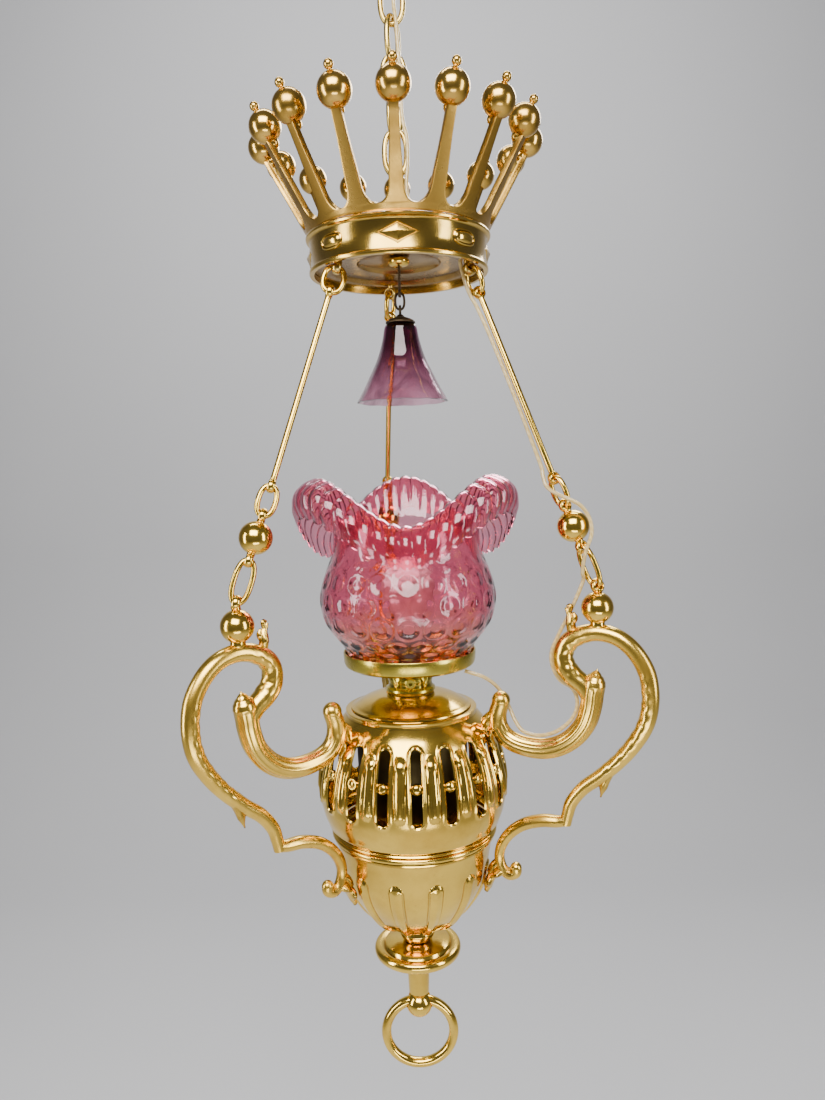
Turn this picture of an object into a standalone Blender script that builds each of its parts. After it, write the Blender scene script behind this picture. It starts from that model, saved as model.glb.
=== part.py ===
"""Hanging sanctuary lamp: chain, crown, three strands with scroll arms, pierced urn and glass shade.

Sizes are in millimetres and MM turns them into metres. The origin is the ceiling plate's top face,
+Z is up and every height is negative. Azimuths are in degrees, anticlockwise seen from above, and
the front of the lamp, where a lozenge jewel sits, faces -Y.
"""
import math

import bmesh
import bpy
from mathutils import Matrix, Vector

MM = 0.001
GAP = 0.3  # left between pieces that touch

# Driving dimensions
ARM_AZIMUTHS = (98.0, 218.0, 338.0)
FRONT = -90.0

LINK_WIRE = 4.4
LINK_HALF_WIDTH = 8.75
LINK_PITCH = 28.4
LINK_PLAY = 0.7  # between the wires of two links
LINK_HALF_LENGTH = (LINK_PITCH + LINK_WIRE + LINK_PLAY) / 2
LINK_TURN = 61.0  # every second link is turned this far from the first
FIRST_LINK_Z = -46.0
LINK_COUNT = 5

BAND_RADIUS = 70.0
BAND_TOP = -225.0
BAND_BOTTOM = -254.0
JEWEL_Z = -239.0
TINE_COUNT = 16
TINE_BALL_RADIUS = 12.15
TINE_BALL_AT = (104.0, -153.0)
TINE_LEAN = 28.9

CROWN_EYE_AT = (59.0, -255.0)
ARM_EYE_AT = (155.0, -500.0)
STRAND_WIRE = 4.2
STRAND_LINK_YAW = -30.0
ROD_TOP = 20.3
ROD_BOTTOM = 175.1
MID_BALL_EYE = 16.9
MID_BALL_AT = 214.5
BALL_RADIUS = 12.3
ARM_BALL_Z = -516.8

URN_TOP = -605.0
BELT_Z = -707.0
SLOT_COUNT = 18
SLOT_WIDTH = 8.3
SLOT_TOP = -622.0
SLOT_BOTTOM = -678.0
SLOT_TURN = 2.0
SLOT_CORNER = 30.0  # turns a hexagonal end so that its point is up

PULL_BALL_Z = -868.4
PULL_BALL_RADIUS = 10.5
PULL_RING_RADIUS = 29.2
PULL_RING_WIRE = 7.0
PULL_RING_AXIS_Z = -865.2

BELL_LINK_PIVOT = -270.2
BELL_PIVOT = -280.3

CORD_RADIUS = 1.5
CORD_TOP = (4.8, -4.8)  # where the flex passes the ceiling plate
CORD_PLATE_HOLE = (47.9, -21.8)  # and the crown plate

PARTS = "sanctuary_lamp"
HELPERS = "cutters"


def clear_scene():
    for thing in list(bpy.data.objects):
        bpy.data.objects.remove(thing, do_unlink=True)
    for group in list(bpy.data.collections):
        bpy.data.collections.remove(group)
    for name in (PARTS, HELPERS):
        group = bpy.data.collections.new(name)
        bpy.context.scene.collection.children.link(group)


def finish_material(name, colour, roughness, metallic, transmission=0.0):
    material = bpy.data.materials.new(name)
    material.use_nodes = True
    shader = material.node_tree.nodes["Principled BSDF"]
    shader.inputs["Base Color"].default_value = (*colour, 1.0)
    shader.inputs["Roughness"].default_value = roughness
    shader.inputs["Metallic"].default_value = metallic
    shader.inputs["Transmission Weight"].default_value = transmission
    return material


def add_mesh(name, mesh, finish):
    mesh.shade_smooth()
    mesh.set_sharp_from_angle(angle=math.radians(35))
    thing = bpy.data.objects.new(name, mesh)
    bpy.data.collections[PARTS].objects.link(thing)
    if finish:
        mesh.materials.append(finish)
    return thing


def as_helper(thing):
    """Move an object to the cutters and hide it."""
    for group in list(thing.users_collection):
        group.objects.unlink(thing)
    bpy.data.collections[HELPERS].objects.link(thing)
    thing.hide_render = True
    thing.display_type = "WIRE"
    return thing


def boolean(thing, other, operation):
    as_helper(other)
    step = thing.modifiers.new(operation.lower(), "BOOLEAN")
    step.operation = operation
    step.object = other
    step.solver = "EXACT"


def join(thing, *others):
    for other in others:
        boolean(thing, other, "UNION")
    return thing


def cut(thing, *others):
    for other in others:
        boolean(thing, other, "DIFFERENCE")
    return thing


def turned(name, profile, finish, steps=32, closed=False, thickness=0.0):
    """Turn (radius, height) points about Z; the outer side runs downwards."""
    mesh = bpy.data.meshes.new(name)
    points = [(radius * MM, 0.0, height * MM) for radius, height in profile]
    edges = [(i, i + 1) for i in range(len(points) - 1)]
    if closed:
        edges.append((len(points) - 1, 0))
    mesh.from_pydata(points, edges, [])
    thing = add_mesh(name, mesh, finish)
    screw = thing.modifiers.new("turn", "SCREW")
    screw.steps = steps
    screw.render_steps = steps
    screw.use_merge_vertices = True
    screw.merge_threshold = 0.00001
    if thickness:
        wall = thing.modifiers.new("wall", "SOLIDIFY")
        wall.thickness = thickness * MM
        wall.offset = -1.0
    return thing


def ball(name, radius, centre, finish=None, segments=10, rings=6):
    mesh = bpy.data.meshes.new(name)
    shape = bmesh.new()
    bmesh.ops.create_uvsphere(shape, u_segments=segments, v_segments=rings, radius=radius * MM)
    shape.to_mesh(mesh)
    shape.free()
    thing = add_mesh(name, mesh, finish)
    thing.location = Vector(centre) * MM
    return thing


def rod(name, radius, start, end, finish=None, segments=8, end_radius=None):
    """A round bar, or a taper, between two points."""
    start, end = Vector(start) * MM, Vector(end) * MM
    mesh = bpy.data.meshes.new(name)
    shape = bmesh.new()
    bmesh.ops.create_cone(
        shape, cap_ends=True, segments=segments, depth=(end - start).length,
        radius1=radius * MM, radius2=(radius if end_radius is None else end_radius) * MM)
    shape.to_mesh(mesh)
    shape.free()
    thing = add_mesh(name, mesh, finish)
    thing.location = (start + end) / 2
    thing.rotation_mode = "QUATERNION"
    thing.rotation_quaternion = (end - start).to_track_quat("Z", "Y")
    return thing


def tube(name, points, radius, finish=None, closed=False, weights=None, fineness=1):
    """A round wire through the points; weights swell or thin it along its length."""
    curve = bpy.data.curves.new(name, "CURVE")
    curve.dimensions = "3D"
    curve.bevel_depth = radius * MM
    curve.bevel_resolution = fineness
    curve.use_fill_caps = True
    line = curve.splines.new("POLY")
    line.points.add(len(points) - 1)
    for index, (knot, point) in enumerate(zip(line.points, points)):
        knot.co = (*(Vector(point) * MM), 1.0)
        if weights:
            knot.radius = weights[index]
    line.use_cyclic_u = closed
    guide = bpy.data.objects.new(name, curve)
    bpy.data.collections[PARTS].objects.link(guide)
    graph = bpy.context.evaluated_depsgraph_get()
    mesh = bpy.data.meshes.new_from_object(guide.evaluated_get(graph))
    bpy.data.objects.remove(guide, do_unlink=True)
    bpy.data.curves.remove(curve)
    shape = bmesh.new()
    shape.from_mesh(mesh)
    bmesh.ops.remove_doubles(shape, verts=shape.verts, dist=0.00001)
    bmesh.ops.recalc_face_normals(shape, faces=shape.faces)
    shape.to_mesh(mesh)
    shape.free()
    return add_mesh(name, mesh, finish)


def smooth_path(knots, count):
    """Points spaced evenly on a Catmull-Rom curve through the knots."""
    knots = [Vector(knot) for knot in knots]
    knots = [2 * knots[0] - knots[1]] + knots + [2 * knots[-1] - knots[-2]]
    fine = []
    for before, start, end, after in zip(knots, knots[1:], knots[2:], knots[3:]):
        for step in range(12):
            t = step / 12
            fine.append(0.5 * (2 * start + (end - before) * t
                               + (2 * before - 5 * start + 4 * end - after) * t ** 2
                               + (3 * start - before - 3 * end + after) * t ** 3))
    fine.append(knots[-2])
    lengths = [0.0]
    for start, end in zip(fine, fine[1:]):
        lengths.append(lengths[-1] + (end - start).length)
    path = []
    place = 0
    for index in range(count):
        wanted = lengths[-1] * index / (count - 1)
        while place < len(fine) - 2 and lengths[place + 1] < wanted:
            place += 1
        span = lengths[place + 1] - lengths[place]
        path.append(fine[place].lerp(fine[place + 1], (wanted - lengths[place]) / span))
    return path


def blend_values(values, count):
    """Numbers spread evenly over a list of values, in straight steps."""
    spread = []
    for index in range(count):
        place = index / (count - 1) * (len(values) - 1)
        low = min(int(place), len(values) - 2)
        spread.append(values[low] + (values[low + 1] - values[low]) * (place - low))
    return spread


def oval(half_width, half_length, count, squareness=2.4):
    """A link's centre line in the XZ plane, fuller than an ellipse, with a short flat at its ends."""
    first = 0.5 if count % 4 == 0 else 0.0
    turns = [2 * math.pi * (index + first) / count for index in range(count)]
    bends = [(math.cos(turn), math.sin(turn)) for turn in turns]
    full = [[math.copysign(abs(value) ** (2 / squareness), value) for value in bend]
            for bend in bends]
    widest = max(across for across, _ in full)
    longest = max(along for _, along in full)
    return [(half_width * across / widest, 0.0, half_length * along / longest)
            for across, along in full]


def link(name, half_width, half_length, wire, finish, place, count=12):
    thing = tube(name, oval(half_width, half_length, count), wire / 2, finish, closed=True)
    thing.matrix_world = place
    return thing


def eye_ring(name, outer, hole, half_thickness, place, steps=9):
    """A rounded ring about the local X axis, moved to its place."""
    middle, half = (outer + hole) / 2, (outer - hole) / 2
    section = []
    for index in range(6):
        angle = math.pi / 2 - 2 * math.pi * index / 6
        section.append((middle + half * math.cos(angle), half_thickness * math.sin(angle)))
    ring = turned(name, section, None, steps=steps, closed=True)
    ring.matrix_world = place @ Matrix.Rotation(math.radians(90), 4, "Y")
    return ring


def polar(radius, azimuth, height):
    turn = math.radians(azimuth)
    return Vector((radius * math.cos(turn), radius * math.sin(turn), height))


def joint_empty(name, point):
    """An empty on a joint's axis, for the pieces that move with it."""
    empty = bpy.data.objects.new(name, None)
    empty.location = Vector(point) * MM
    empty.empty_display_size = 0.02
    bpy.data.collections[PARTS].objects.link(empty)
    return empty


def hang_on(empty, *things):
    for thing in things:
        thing.parent = empty
        thing.matrix_parent_inverse = Matrix.Translation(-empty.location)


def finishes():
    return {
        "chain": finish_material("chain_brass", (0.56, 0.47, 0.24), 0.3, 1.0),
        "crown": finish_material("crown_brass", (0.45, 0.31, 0.12), 0.36, 1.0),
        "brass": finish_material("polished_brass", (0.72, 0.51, 0.2), 0.24, 1.0),
        "gallery": finish_material("pale_brass", (0.6, 0.52, 0.2), 0.3, 1.0),
        "dark": finish_material("dark_wire", (0.09, 0.07, 0.05), 0.5, 1.0),
        "glass": finish_material("cranberry_glass", (0.62, 0.05, 0.12), 0.06, 0.0, 0.7),
        "bulb": finish_material("bulb_glass", (0.9, 0.88, 0.82), 0.3, 0.0, 0.5),
        "holder": finish_material("holder_shell", (0.12, 0.11, 0.1), 0.5, 0.0),
        "cord": finish_material("gold_flex", (0.68, 0.55, 0.32), 0.35, 0.0),
    }


def build_ceiling(brass):
    """A turned ceiling plate, with a hook under it that opens to the front."""
    profile = [(0, 0), (32, 0), (32, -3), (28, -6), (18, -8), (11, -11), (0, -11)]
    plate = turned("ceiling_plate", profile, brass, steps=24)
    cut(plate, rod("cord_hole", 2.1, (*CORD_TOP, 2), (*CORD_TOP, -14)))
    bend = 6.5
    bottom = FIRST_LINK_Z + LINK_HALF_LENGTH - LINK_WIRE / 2 - 2.5 - LINK_PLAY
    centre = bottom + bend
    path = [(0, 0, -11.6), (0, 0, -16), (0, 3.2, -20)]
    for index in range(9):
        angle = math.pi * index / 8
        path.append((0, bend * math.cos(angle), centre - bend * math.sin(angle)))
    path.append((0, -bend - 0.3, centre + 4))
    tube("ceiling_hook", smooth_path(path, 16), 2.5, brass)


def link_turn(index):
    return LINK_TURN if index % 2 else 0.0


def build_chain(brass):
    """Five links; each hangs from the one above and is turned against it."""
    for index in range(LINK_COUNT):
        middle = FIRST_LINK_Z - LINK_PITCH * index
        place = Matrix.Translation(Vector((0, 0, middle)) * MM) @ Matrix.Rotation(
            math.radians(link_turn(index)), 4, "Z")
        piece = link(f"chain_link_{index + 1}", LINK_HALF_WIDTH, LINK_HALF_LENGTH, LINK_WIRE,
                     brass, place)
        pivot = (0, 0, middle + LINK_HALF_LENGTH - LINK_WIRE - LINK_PLAY)
        hang_on(joint_empty(f"link_{index + 1}_pivot", pivot), piece)


def build_eye_bolt(brass, pivot):
    """A round eye in the last chain link, on a shank that runs down to the boss nut."""
    last_wire = FIRST_LINK_Z - LINK_PITCH * (LINK_COUNT - 1) - LINK_HALF_LENGTH
    loop = 6.2
    top = last_wire + LINK_WIRE + LINK_PLAY
    centre = top - loop
    turns = [2 * math.pi * i / 12 for i in range(12)]
    ring = [(0, loop * math.sin(turn), centre + loop * math.cos(turn)) for turn in turns]
    bolt = tube("crown_eye_bolt", ring, LINK_WIRE / 2, brass, closed=True)
    join(bolt, rod("bolt_shank", 2.25, (0, 0, centre - loop), (0, 0, -246)))
    hang_on(pivot, bolt)


def build_crown(look, pivot):
    """The jewelled band, the dished plate inside it, the boss nut, and the three strands' eyes."""
    band = turned("crown_band", [
        (67.5, BAND_TOP), (72.4, BAND_TOP), (73.3, -226.4), (72.6, -228.4), (BAND_RADIUS, -229.4),
        (BAND_RADIUS, -250.4), (71.4, -252), (70.6, BAND_BOTTOM),
        (67.5, BAND_BOTTOM)], look["crown"], steps=32, closed=True)
    jewels = []
    for index in range(8):
        azimuth = FRONT + 45 * index
        spot = Matrix.Rotation(math.radians(azimuth), 4, "Z") @ Matrix.Translation(
            Vector((BAND_RADIUS - 1.2, 0, JEWEL_Z)) * MM)
        mesh = bpy.data.meshes.new("jewel")
        shape = bmesh.new()
        if index % 2 == 0:
            bmesh.ops.create_cone(shape, cap_ends=True, segments=4, radius1=MM, radius2=0, depth=MM)
            bmesh.ops.scale(shape, vec=(7, 15, 4.6), verts=shape.verts)
            bmesh.ops.translate(shape, vec=(0, 0, 2.1 * MM), verts=shape.verts)
            bmesh.ops.rotate(shape, matrix=Matrix.Rotation(math.radians(90), 3, "Y"),
                             verts=shape.verts)
        else:
            bmesh.ops.create_uvsphere(shape, u_segments=8, v_segments=5, radius=MM)
            bmesh.ops.scale(shape, vec=(3.6, 11, 6), verts=shape.verts)
        shape.to_mesh(mesh)
        shape.free()
        jewel = add_mesh(f"jewel_{index + 1}", mesh, None)
        jewel.matrix_world = spot
        jewels.append(jewel)
    join(band, *jewels)

    plate = turned("crown_plate", [
        (2.7, -237.7), (32, -239.4), (35, -242.6), (54, -243.6), (57, -247),
        (66.9, -247), (66.9, -249.2), (56, -249.2), (52, -245.6), (33, -244.6), (30, -241.4),
        (2.7, -240)], look["crown"], steps=24, closed=True)
    cut(plate, rod("crown_cord_hole", 2.1, (*CORD_PLATE_HOLE, -230), (*CORD_PLATE_HOLE, -260)))
    nut = turned("crown_nut", [
        (2.6, -240.7), (7, -240.9), (8.6, -242.4), (8.6, -244.6), (6.4, -246.6), (2.6, -247)],
        look["brass"], steps=14, closed=True)
    hang_on(pivot, band, plate, nut)
    for index, azimuth in enumerate(ARM_AZIMUTHS):
        eye = eye_ring(f"crown_eye_{index + 1}", 5.4, 2.9, 2.0, strand_place(azimuth, 0.0))
        eye.data.materials.append(look["brass"])
        hang_on(pivot, eye)


def tine_radius(height):
    """The tines lean outwards on a straight line."""
    return 70.0 + (height + 222.0) * math.tan(math.radians(TINE_LEAN))


def build_coronet(brass, pivot):
    """A wall cut into tines that lean outwards; each carries a ball with a bead on it."""
    rows = [(-223.6, None), (-219.6, None), (-212.0, 14.0), (-196.0, 8.8), (-163.0, 6.2)]
    sector = 360 / TINE_COUNT
    mesh = bpy.data.meshes.new("coronet")
    shape = bmesh.new()
    for tine in range(TINE_COUNT):
        middle = FRONT + sector * tine
        previous = None
        for height, width in rows:
            radius = tine_radius(height)
            half = sector / 2 if width is None else math.degrees(width / 2 / radius)
            row = [shape.verts.new(polar(radius, middle + half * side, height) * MM)
                   for side in (-1, 0, 1)]
            if previous:
                for side in (0, 1):
                    shape.faces.new((previous[side], previous[side + 1], row[side + 1], row[side]))
            previous = row
    bmesh.ops.remove_doubles(shape, verts=shape.verts, dist=0.00001)
    shape.to_mesh(mesh)
    shape.free()
    coronet = add_mesh("coronet", mesh, brass)
    wall = coronet.modifiers.new("wall", "SOLIDIFY")
    wall.thickness = 4.4 * MM
    wall.offset = 0.0
    wall.use_even_offset = True
    lean = math.radians(TINE_LEAN)
    bead_radius = TINE_BALL_AT[0] + 14.2 * math.sin(lean)
    bead_height = TINE_BALL_AT[1] + 14.2 * math.cos(lean)
    for tine in range(TINE_COUNT):
        azimuth = FRONT + sector * tine
        centre = polar(TINE_BALL_AT[0], azimuth, TINE_BALL_AT[1])
        big = ball("tine_ball", TINE_BALL_RADIUS, centre, segments=8, rings=4)
        bead = ball("tine_bead", 3.9, polar(bead_radius, azimuth, bead_height), segments=4, rings=3)
        join(coronet, big, bead)
    hang_on(pivot, coronet)


def build_smoke_bell(look, crown_pivot):
    """A hook under the nut, a twisted wire link, and the glass bell with its brass cap."""
    hook_path = [(0, 0, -247 - GAP), (0, 0, -256), (0, 0, -261)]
    loop, loop_z = 3.6, -266.6
    hook_path += [(0, loop * math.sin(a), loop_z + loop * math.cos(a))
                  for a in [math.radians(25 + 29 * i) for i in range(10)]]
    hook = tube("bell_hook", smooth_path(hook_path, 18), 1.3, look["dark"])
    hang_on(crown_pivot, hook)

    link_z = -273.9
    hanger_link = link("bell_link", 3.6, 6.4, 2.0, look["dark"],
                       Matrix.Translation(Vector((0, 0, link_z)) * MM), count=10)
    hang_on(joint_empty("bell_link_pivot", (0, 0, BELL_LINK_PIVOT)), hanger_link)

    cap = turned("bell_cap", [(0, -284.2), (2.4, -285), (8.6, -288.4), (10.6, -290.4),
                              (10.6, -291.4), (0, -291.4)], look["brass"], steps=16)
    eye_place = Matrix.Translation(Vector((0, 0, BELL_PIVOT - 0.4)) * MM)
    eye = eye_ring("bell_cap_eye", 4.0, 1.9, 1.1, eye_place)
    join(cap, eye)
    bell = turned("smoke_bell", [
        (8.6, -291.4 - GAP), (12.2, -294), (15.6, -305), (19.6, -318), (25.6, -332),
        (36.8, -354)], look["glass"], steps=20, thickness=1.9)
    close = rod("bell_crown", 9.6, (0, 0, -291.4 - GAP), (0, 0, -294), segments=20)
    join(bell, close)
    hang_on(joint_empty("bell_pivot", (0, 0, BELL_PIVOT)), cap, bell)


def strand_place(azimuth, along):
    """A frame on a strand: X is the eye holes' axis and -Z runs down the strand."""
    start = polar(CROWN_EYE_AT[0], azimuth, CROWN_EYE_AT[1])
    end = polar(ARM_EYE_AT[0], azimuth, ARM_EYE_AT[1])
    down = (end - start).normalized()
    up = -down
    across = polar(1, azimuth + STRAND_LINK_YAW, 0)
    across = (across - across.dot(up) * up).normalized()
    frame = Matrix((across, up.cross(across), up)).transposed().to_4x4()
    return Matrix.Translation((start + down * along) * MM) @ frame


def strand_length():
    return math.dist(CROWN_EYE_AT, ARM_EYE_AT)


def strand_link(name, start, end, half_width, azimuth, brass):
    half = (end - start) / 2
    return link(name, half_width, half, STRAND_WIRE, brass,
                strand_place(azimuth, (start + end) / 2), count=10)


def build_strand(index, azimuth, brass):
    """Link, long rod with two eyes, link, ball with two eyes, and link, in one straight line."""
    number = index + 1
    pieces = [strand_link(f"top_link_{number}", 0, ROD_TOP, 7.6, azimuth, brass),
              strand_link(f"mid_link_{number}", ROD_BOTTOM, MID_BALL_AT - MID_BALL_EYE, 6.3,
                          azimuth, brass),
              strand_link(f"low_link_{number}", MID_BALL_AT + MID_BALL_EYE, strand_length(), 6.3,
                          azimuth, brass)]
    start = strand_place(azimuth, ROD_TOP)
    end = strand_place(azimuth, ROD_BOTTOM)
    hanger = eye_ring(f"hanger_rod_{number}", 5.2, 2.9, 2.0, start)
    hanger.data.materials.append(brass)
    down = (end.translation - start.translation).normalized() / MM
    bar = rod("rod_bar", 2.4, start.translation / MM + down * 3.9 * MM,
              end.translation / MM - down * 3.9 * MM)
    join(hanger, bar, eye_ring("rod_eye", 5.2, 2.9, 2.0, end))
    pieces.append(hanger)

    centre = strand_place(azimuth, MID_BALL_AT)
    middle = ball(f"mid_ball_{number}", BALL_RADIUS, (0, 0, 0), brass)
    middle.matrix_world = centre
    for side in (-1, 1):
        join(middle, eye_ring("ball_eye", 5.6, 2.9, 2.0,
                              strand_place(azimuth, MID_BALL_AT + side * MID_BALL_EYE)))
    pieces.append(middle)
    hang_on(joint_empty(f"strand_{number}_pivot", strand_place(azimuth, 0).translation / MM),
            *pieces)


def arm_point(azimuth, radius, height, aside=0.0):
    """A point in an arm's plane, or set aside from it."""
    return polar(radius, azimuth, height) + aside * polar(1, azimuth + 90, 0)


def build_arm(index, azimuth, brass, lamp_pivot):
    """A cast double scroll: outer scroll, inner S-scroll, lower bracket, bud and thorn leaf."""
    number = index + 1

    def scroll(name, knots, radius, weights, count):
        path = smooth_path([arm_point(azimuth, r, z) for r, z in knots], count)
        return tube(name, path, radius, brass, weights=blend_values(weights, count))

    arm = scroll(f"scroll_arm_{number}", [
        (145, -575), (136, -572), (129.6, -564), (128.4, -554), (132.4, -545), (142, -538.6),
        (155.6, -536), (170, -539.4), (182, -549), (191, -564), (194, -580), (193, -596),
        (188.4, -610), (179, -625), (168, -638), (155, -650), (143, -660), (134, -672),
        (130, -684), (128.4, -692)], 6.2,
        (1.1, 1.13, 1.08, 1.0, 1.0, 0.98, 0.92, 0.8, 0.74, 0.62), 23)
    inner = scroll("inner_scroll", [
        (78, -595), (75, -606), (76, -616), (82.4, -625), (94, -630), (110, -631.4), (124, -628),
        (136, -620), (145, -608), (149.6, -594), (150, -582), (149, -572), (151, -566)], 6.8,
        (0.85, 0.9, 0.95, 1.0, 1.05, 1.1, 1.2, 1.15, 0.45), 16)
    bracket = scroll("lower_bracket", [
        (129, -688), (122, -689.4), (110, -690.4), (96, -695), (85, -703), (77.6, -713),
        (74.4, -724), (76.4, -734), (82, -739.6), (87, -736)], 5.0,
        (0.95, 1.0, 0.95, 0.9, 0.85, 0.75), 11)
    knob = ball("knob", 6.3, arm_point(azimuth, 78, -594.4), segments=8, rings=6)
    upper_pad = ball("upper_pad", 6.4, arm_point(azimuth, 70.4, -613.5), segments=8, rings=6)
    foot = rod("foot", 4.2, arm_point(azimuth, 76, -731), arm_point(azimuth, 65.6, -749),
               end_radius=3.2)
    bud = rod("bud", 5.0, arm_point(azimuth, 135.4, -541), arm_point(azimuth, 131, -517.5),
              end_radius=0.8, segments=6)
    thorn = rod("thorn", 4.6, arm_point(azimuth, 166, -641), arm_point(azimuth, 156.4, -661),
                end_radius=0.6, segments=6)
    join(arm, inner, bracket, knob, upper_pad, foot, bud, thorn)

    centre = arm_point(azimuth, ARM_EYE_AT[0], ARM_BALL_Z)
    top_ball = ball(f"arm_ball_{number}", BALL_RADIUS, centre, brass)
    eye = eye_ring("arm_eye", 5.9, 3.3, 2.0, strand_place(azimuth, strand_length()))
    join(top_ball, eye)
    hang_on(lamp_pivot, arm, top_ball)


def build_urn(look, lamp_pivot):
    """The pierced drum, the bowl under it, the base disc with its stem, and the finial's ring."""
    upper = turned("urn_upper", [
        (49, URN_TOP), (54.3, URN_TOP), (54.3, -609), (60, -615), (68, -628), (76, -651),
        (78.2, -668), (75.6, -690), (68, -703), (68, BELT_Z + 0.8)],
        look["brass"], steps=27, thickness=1.8)
    for index in range(SLOT_COUNT):
        azimuth = FRONT + SLOT_TURN + index * 360 / SLOT_COUNT
        half = SLOT_WIDTH / 2
        spot = polar(72, azimuth, (SLOT_TOP + SLOT_BOTTOM) / 2)
        mesh = bpy.data.meshes.new("slot")
        shape = bmesh.new()
        bmesh.ops.create_cone(shape, cap_ends=True, segments=6, radius1=half * MM,
                              radius2=half * MM, depth=30 * MM)
        bmesh.ops.rotate(shape, matrix=Matrix.Rotation(math.radians(90), 3, "Y"),
                         verts=shape.verts)
        bmesh.ops.rotate(shape, matrix=Matrix.Rotation(math.radians(SLOT_CORNER), 3, "X"),
                         verts=shape.verts)
        stretch = (SLOT_TOP - SLOT_BOTTOM) / 2 - half
        for vertex in shape.verts:
            if abs(vertex.co.z) > 0.0001:
                vertex.co.z += math.copysign(stretch * MM, vertex.co.z)
        shape.to_mesh(mesh)
        shape.free()
        slot = add_mesh("slot", mesh, None)
        slot.matrix_world = (Matrix.Translation(spot * MM)
                             @ Matrix.Rotation(math.radians(azimuth), 4, "Z"))
        cut(upper, slot)
    lower = turned("urn_lower", [
        (0, -794), (14, -792.6), (39, -777), (55, -751), (64, BELT_Z),
        (67.8, BELT_Z), (69, -709.6), (65.6, -714.6), (61, -741), (56, -757.4),
        (42, -779), (27, -791.4), (13.4, -798.6), (14.8, -803), (12.6, -808),
        (0, -809)], look["brass"], steps=24)
    disc = turned("base_disc", [
        (0, -809.4), (27, -811), (28.4, -813.6), (35, -814), (36.4, -817), (33, -820.2),
        (10, -821), (8.6, -823), (6.6, -852), (7.6, -854.6), (6.4, -857.3), (0, -857.3)],
        look["brass"], steps=22)
    finial = ball("finial_ball", PULL_BALL_RADIUS, (0, 0, PULL_BALL_Z), look["brass"],
                  segments=14, rings=9)
    bore = []
    for index in range(5):
        along = 12 - 6 * index
        bore.append((PULL_RING_WIRE / 2 + 0.75 + along ** 2 / 2 / PULL_RING_RADIUS, along))
    hole = turned("ring_hole", [(0, 12.0)] + bore + [(0, -12.0)], None, steps=12)
    hole.matrix_world = Matrix.Translation(Vector((0, 0, PULL_RING_AXIS_Z)) * MM) @ (
        Matrix.Rotation(math.radians(90), 4, "Y"))
    cut(finial, hole)
    hang_on(lamp_pivot, upper, lower, disc, finial)

    centre = PULL_RING_AXIS_Z - PULL_RING_RADIUS
    turns = [2 * math.pi * i / 24 for i in range(24)]
    circle = [(PULL_RING_RADIUS * math.sin(turn), 0.0, centre + PULL_RING_RADIUS * math.cos(turn))
              for turn in turns]
    pull = tube("pull_ring", circle, PULL_RING_WIRE / 2, look["brass"], closed=True,
                fineness=2)
    hang_on(joint_empty("pull_ring_pivot", (0, 0, PULL_RING_AXIS_Z)), pull)


def build_burner(look, lamp_pivot):
    """Font, burner collar, gallery, lamp holder and bulb, stacked on the urn's mouth."""
    font = turned("oil_font", [
        (0, -672.2), (19, -670.2), (35.6, -658.8), (44.6, -604.4),
        (30, -596.6), (15.5, -595.6), (15.5, -593.8), (19.6, -592.8), (30, -594.4),
        (42, -598.8), (49.8, -604.5), (46.6, -604.5), (44, -640), (37, -660),
        (20, -672), (0, -674)], look["brass"], steps=20)
    collar = turned("burner_collar", [
        (15.2, -572), (19.6, -572.6), (18, -575), (18, -587), (20.2, -589.4),
        (19.6, -592.2), (15.2, -592.4)], look["gallery"], steps=20, closed=True)
    lug = rod("lug", 4.6, (0, -17, -581), (0, -23.5, -581), segments=10)
    join(collar, lug)
    gallery = turned("gallery", [
        (53.4, -557), (54.9, -557), (54.2, -567), (48, -570.6),
        (16, -571.6), (16, -570.1), (48, -569.2), (52.7, -566.2)],
        look["gallery"], steps=28, closed=True)
    holder = turned("lamp_holder", [
        (0, -549), (13, -549), (13.6, -551), (14.2, -562), (14.2, -580),
        (12, -583), (0, -583)], look["holder"], steps=16)
    bulb = turned("bulb", [
        (0, -484), (12, -487), (20, -495), (22.4, -505), (20.6, -514),
        (12.6, -535), (12, -549 + GAP), (0, -549 + GAP)], look["bulb"], steps=14)
    hang_on(lamp_pivot, font, collar, gallery, holder, bulb)


def build_shade(glass):
    """A bellied shade whose rim turns up into three lobes and curls over."""
    columns = 24
    belly = [(49.8, -566.2), (50.8, -557.5), (54.6, -551.6), (63, -540.6), (71, -522),
             (72.5, -512), (69, -494), (60.6, -472)]
    rim = [(59, 2.5, -461, 12), (63.5, 8, -452, 34), (69, 11.5, -456.5, 36),
           (76, 14, -480.5, 39)]
    mesh = bpy.data.meshes.new("glass_shade")
    shape = bmesh.new()
    grid = []
    for column in range(columns):
        azimuth = 360 * column / columns
        lobe = 0.5 + 0.5 * math.cos(math.radians(3 * (azimuth - 90)))
        strip = [polar(r, azimuth, z) for r, z in belly]
        strip += [polar(r + grow * lobe, azimuth, z + rise * lobe) for r, grow, z, rise in rim]
        grid.append([shape.verts.new(point * MM) for point in strip])
    for column in range(columns):
        left, right = grid[column], grid[(column + 1) % columns]
        for row in range(len(left) - 1):
            shape.faces.new((left[row], right[row], right[row + 1], left[row + 1]))
    shape.to_mesh(mesh)
    shape.free()
    shade = add_mesh("glass_shade", mesh, glass)
    wall = shade.modifiers.new("wall", "SOLIDIFY")
    wall.thickness = 2.2 * MM
    wall.offset = -1.0
    hang_on(joint_empty("shade_seat", (0, 0, -567.5)), shade)


def strand_point(azimuth, along, across, behind):
    return strand_place(azimuth, along) @ (Vector((across, behind, 0)) * MM) / MM


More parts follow.
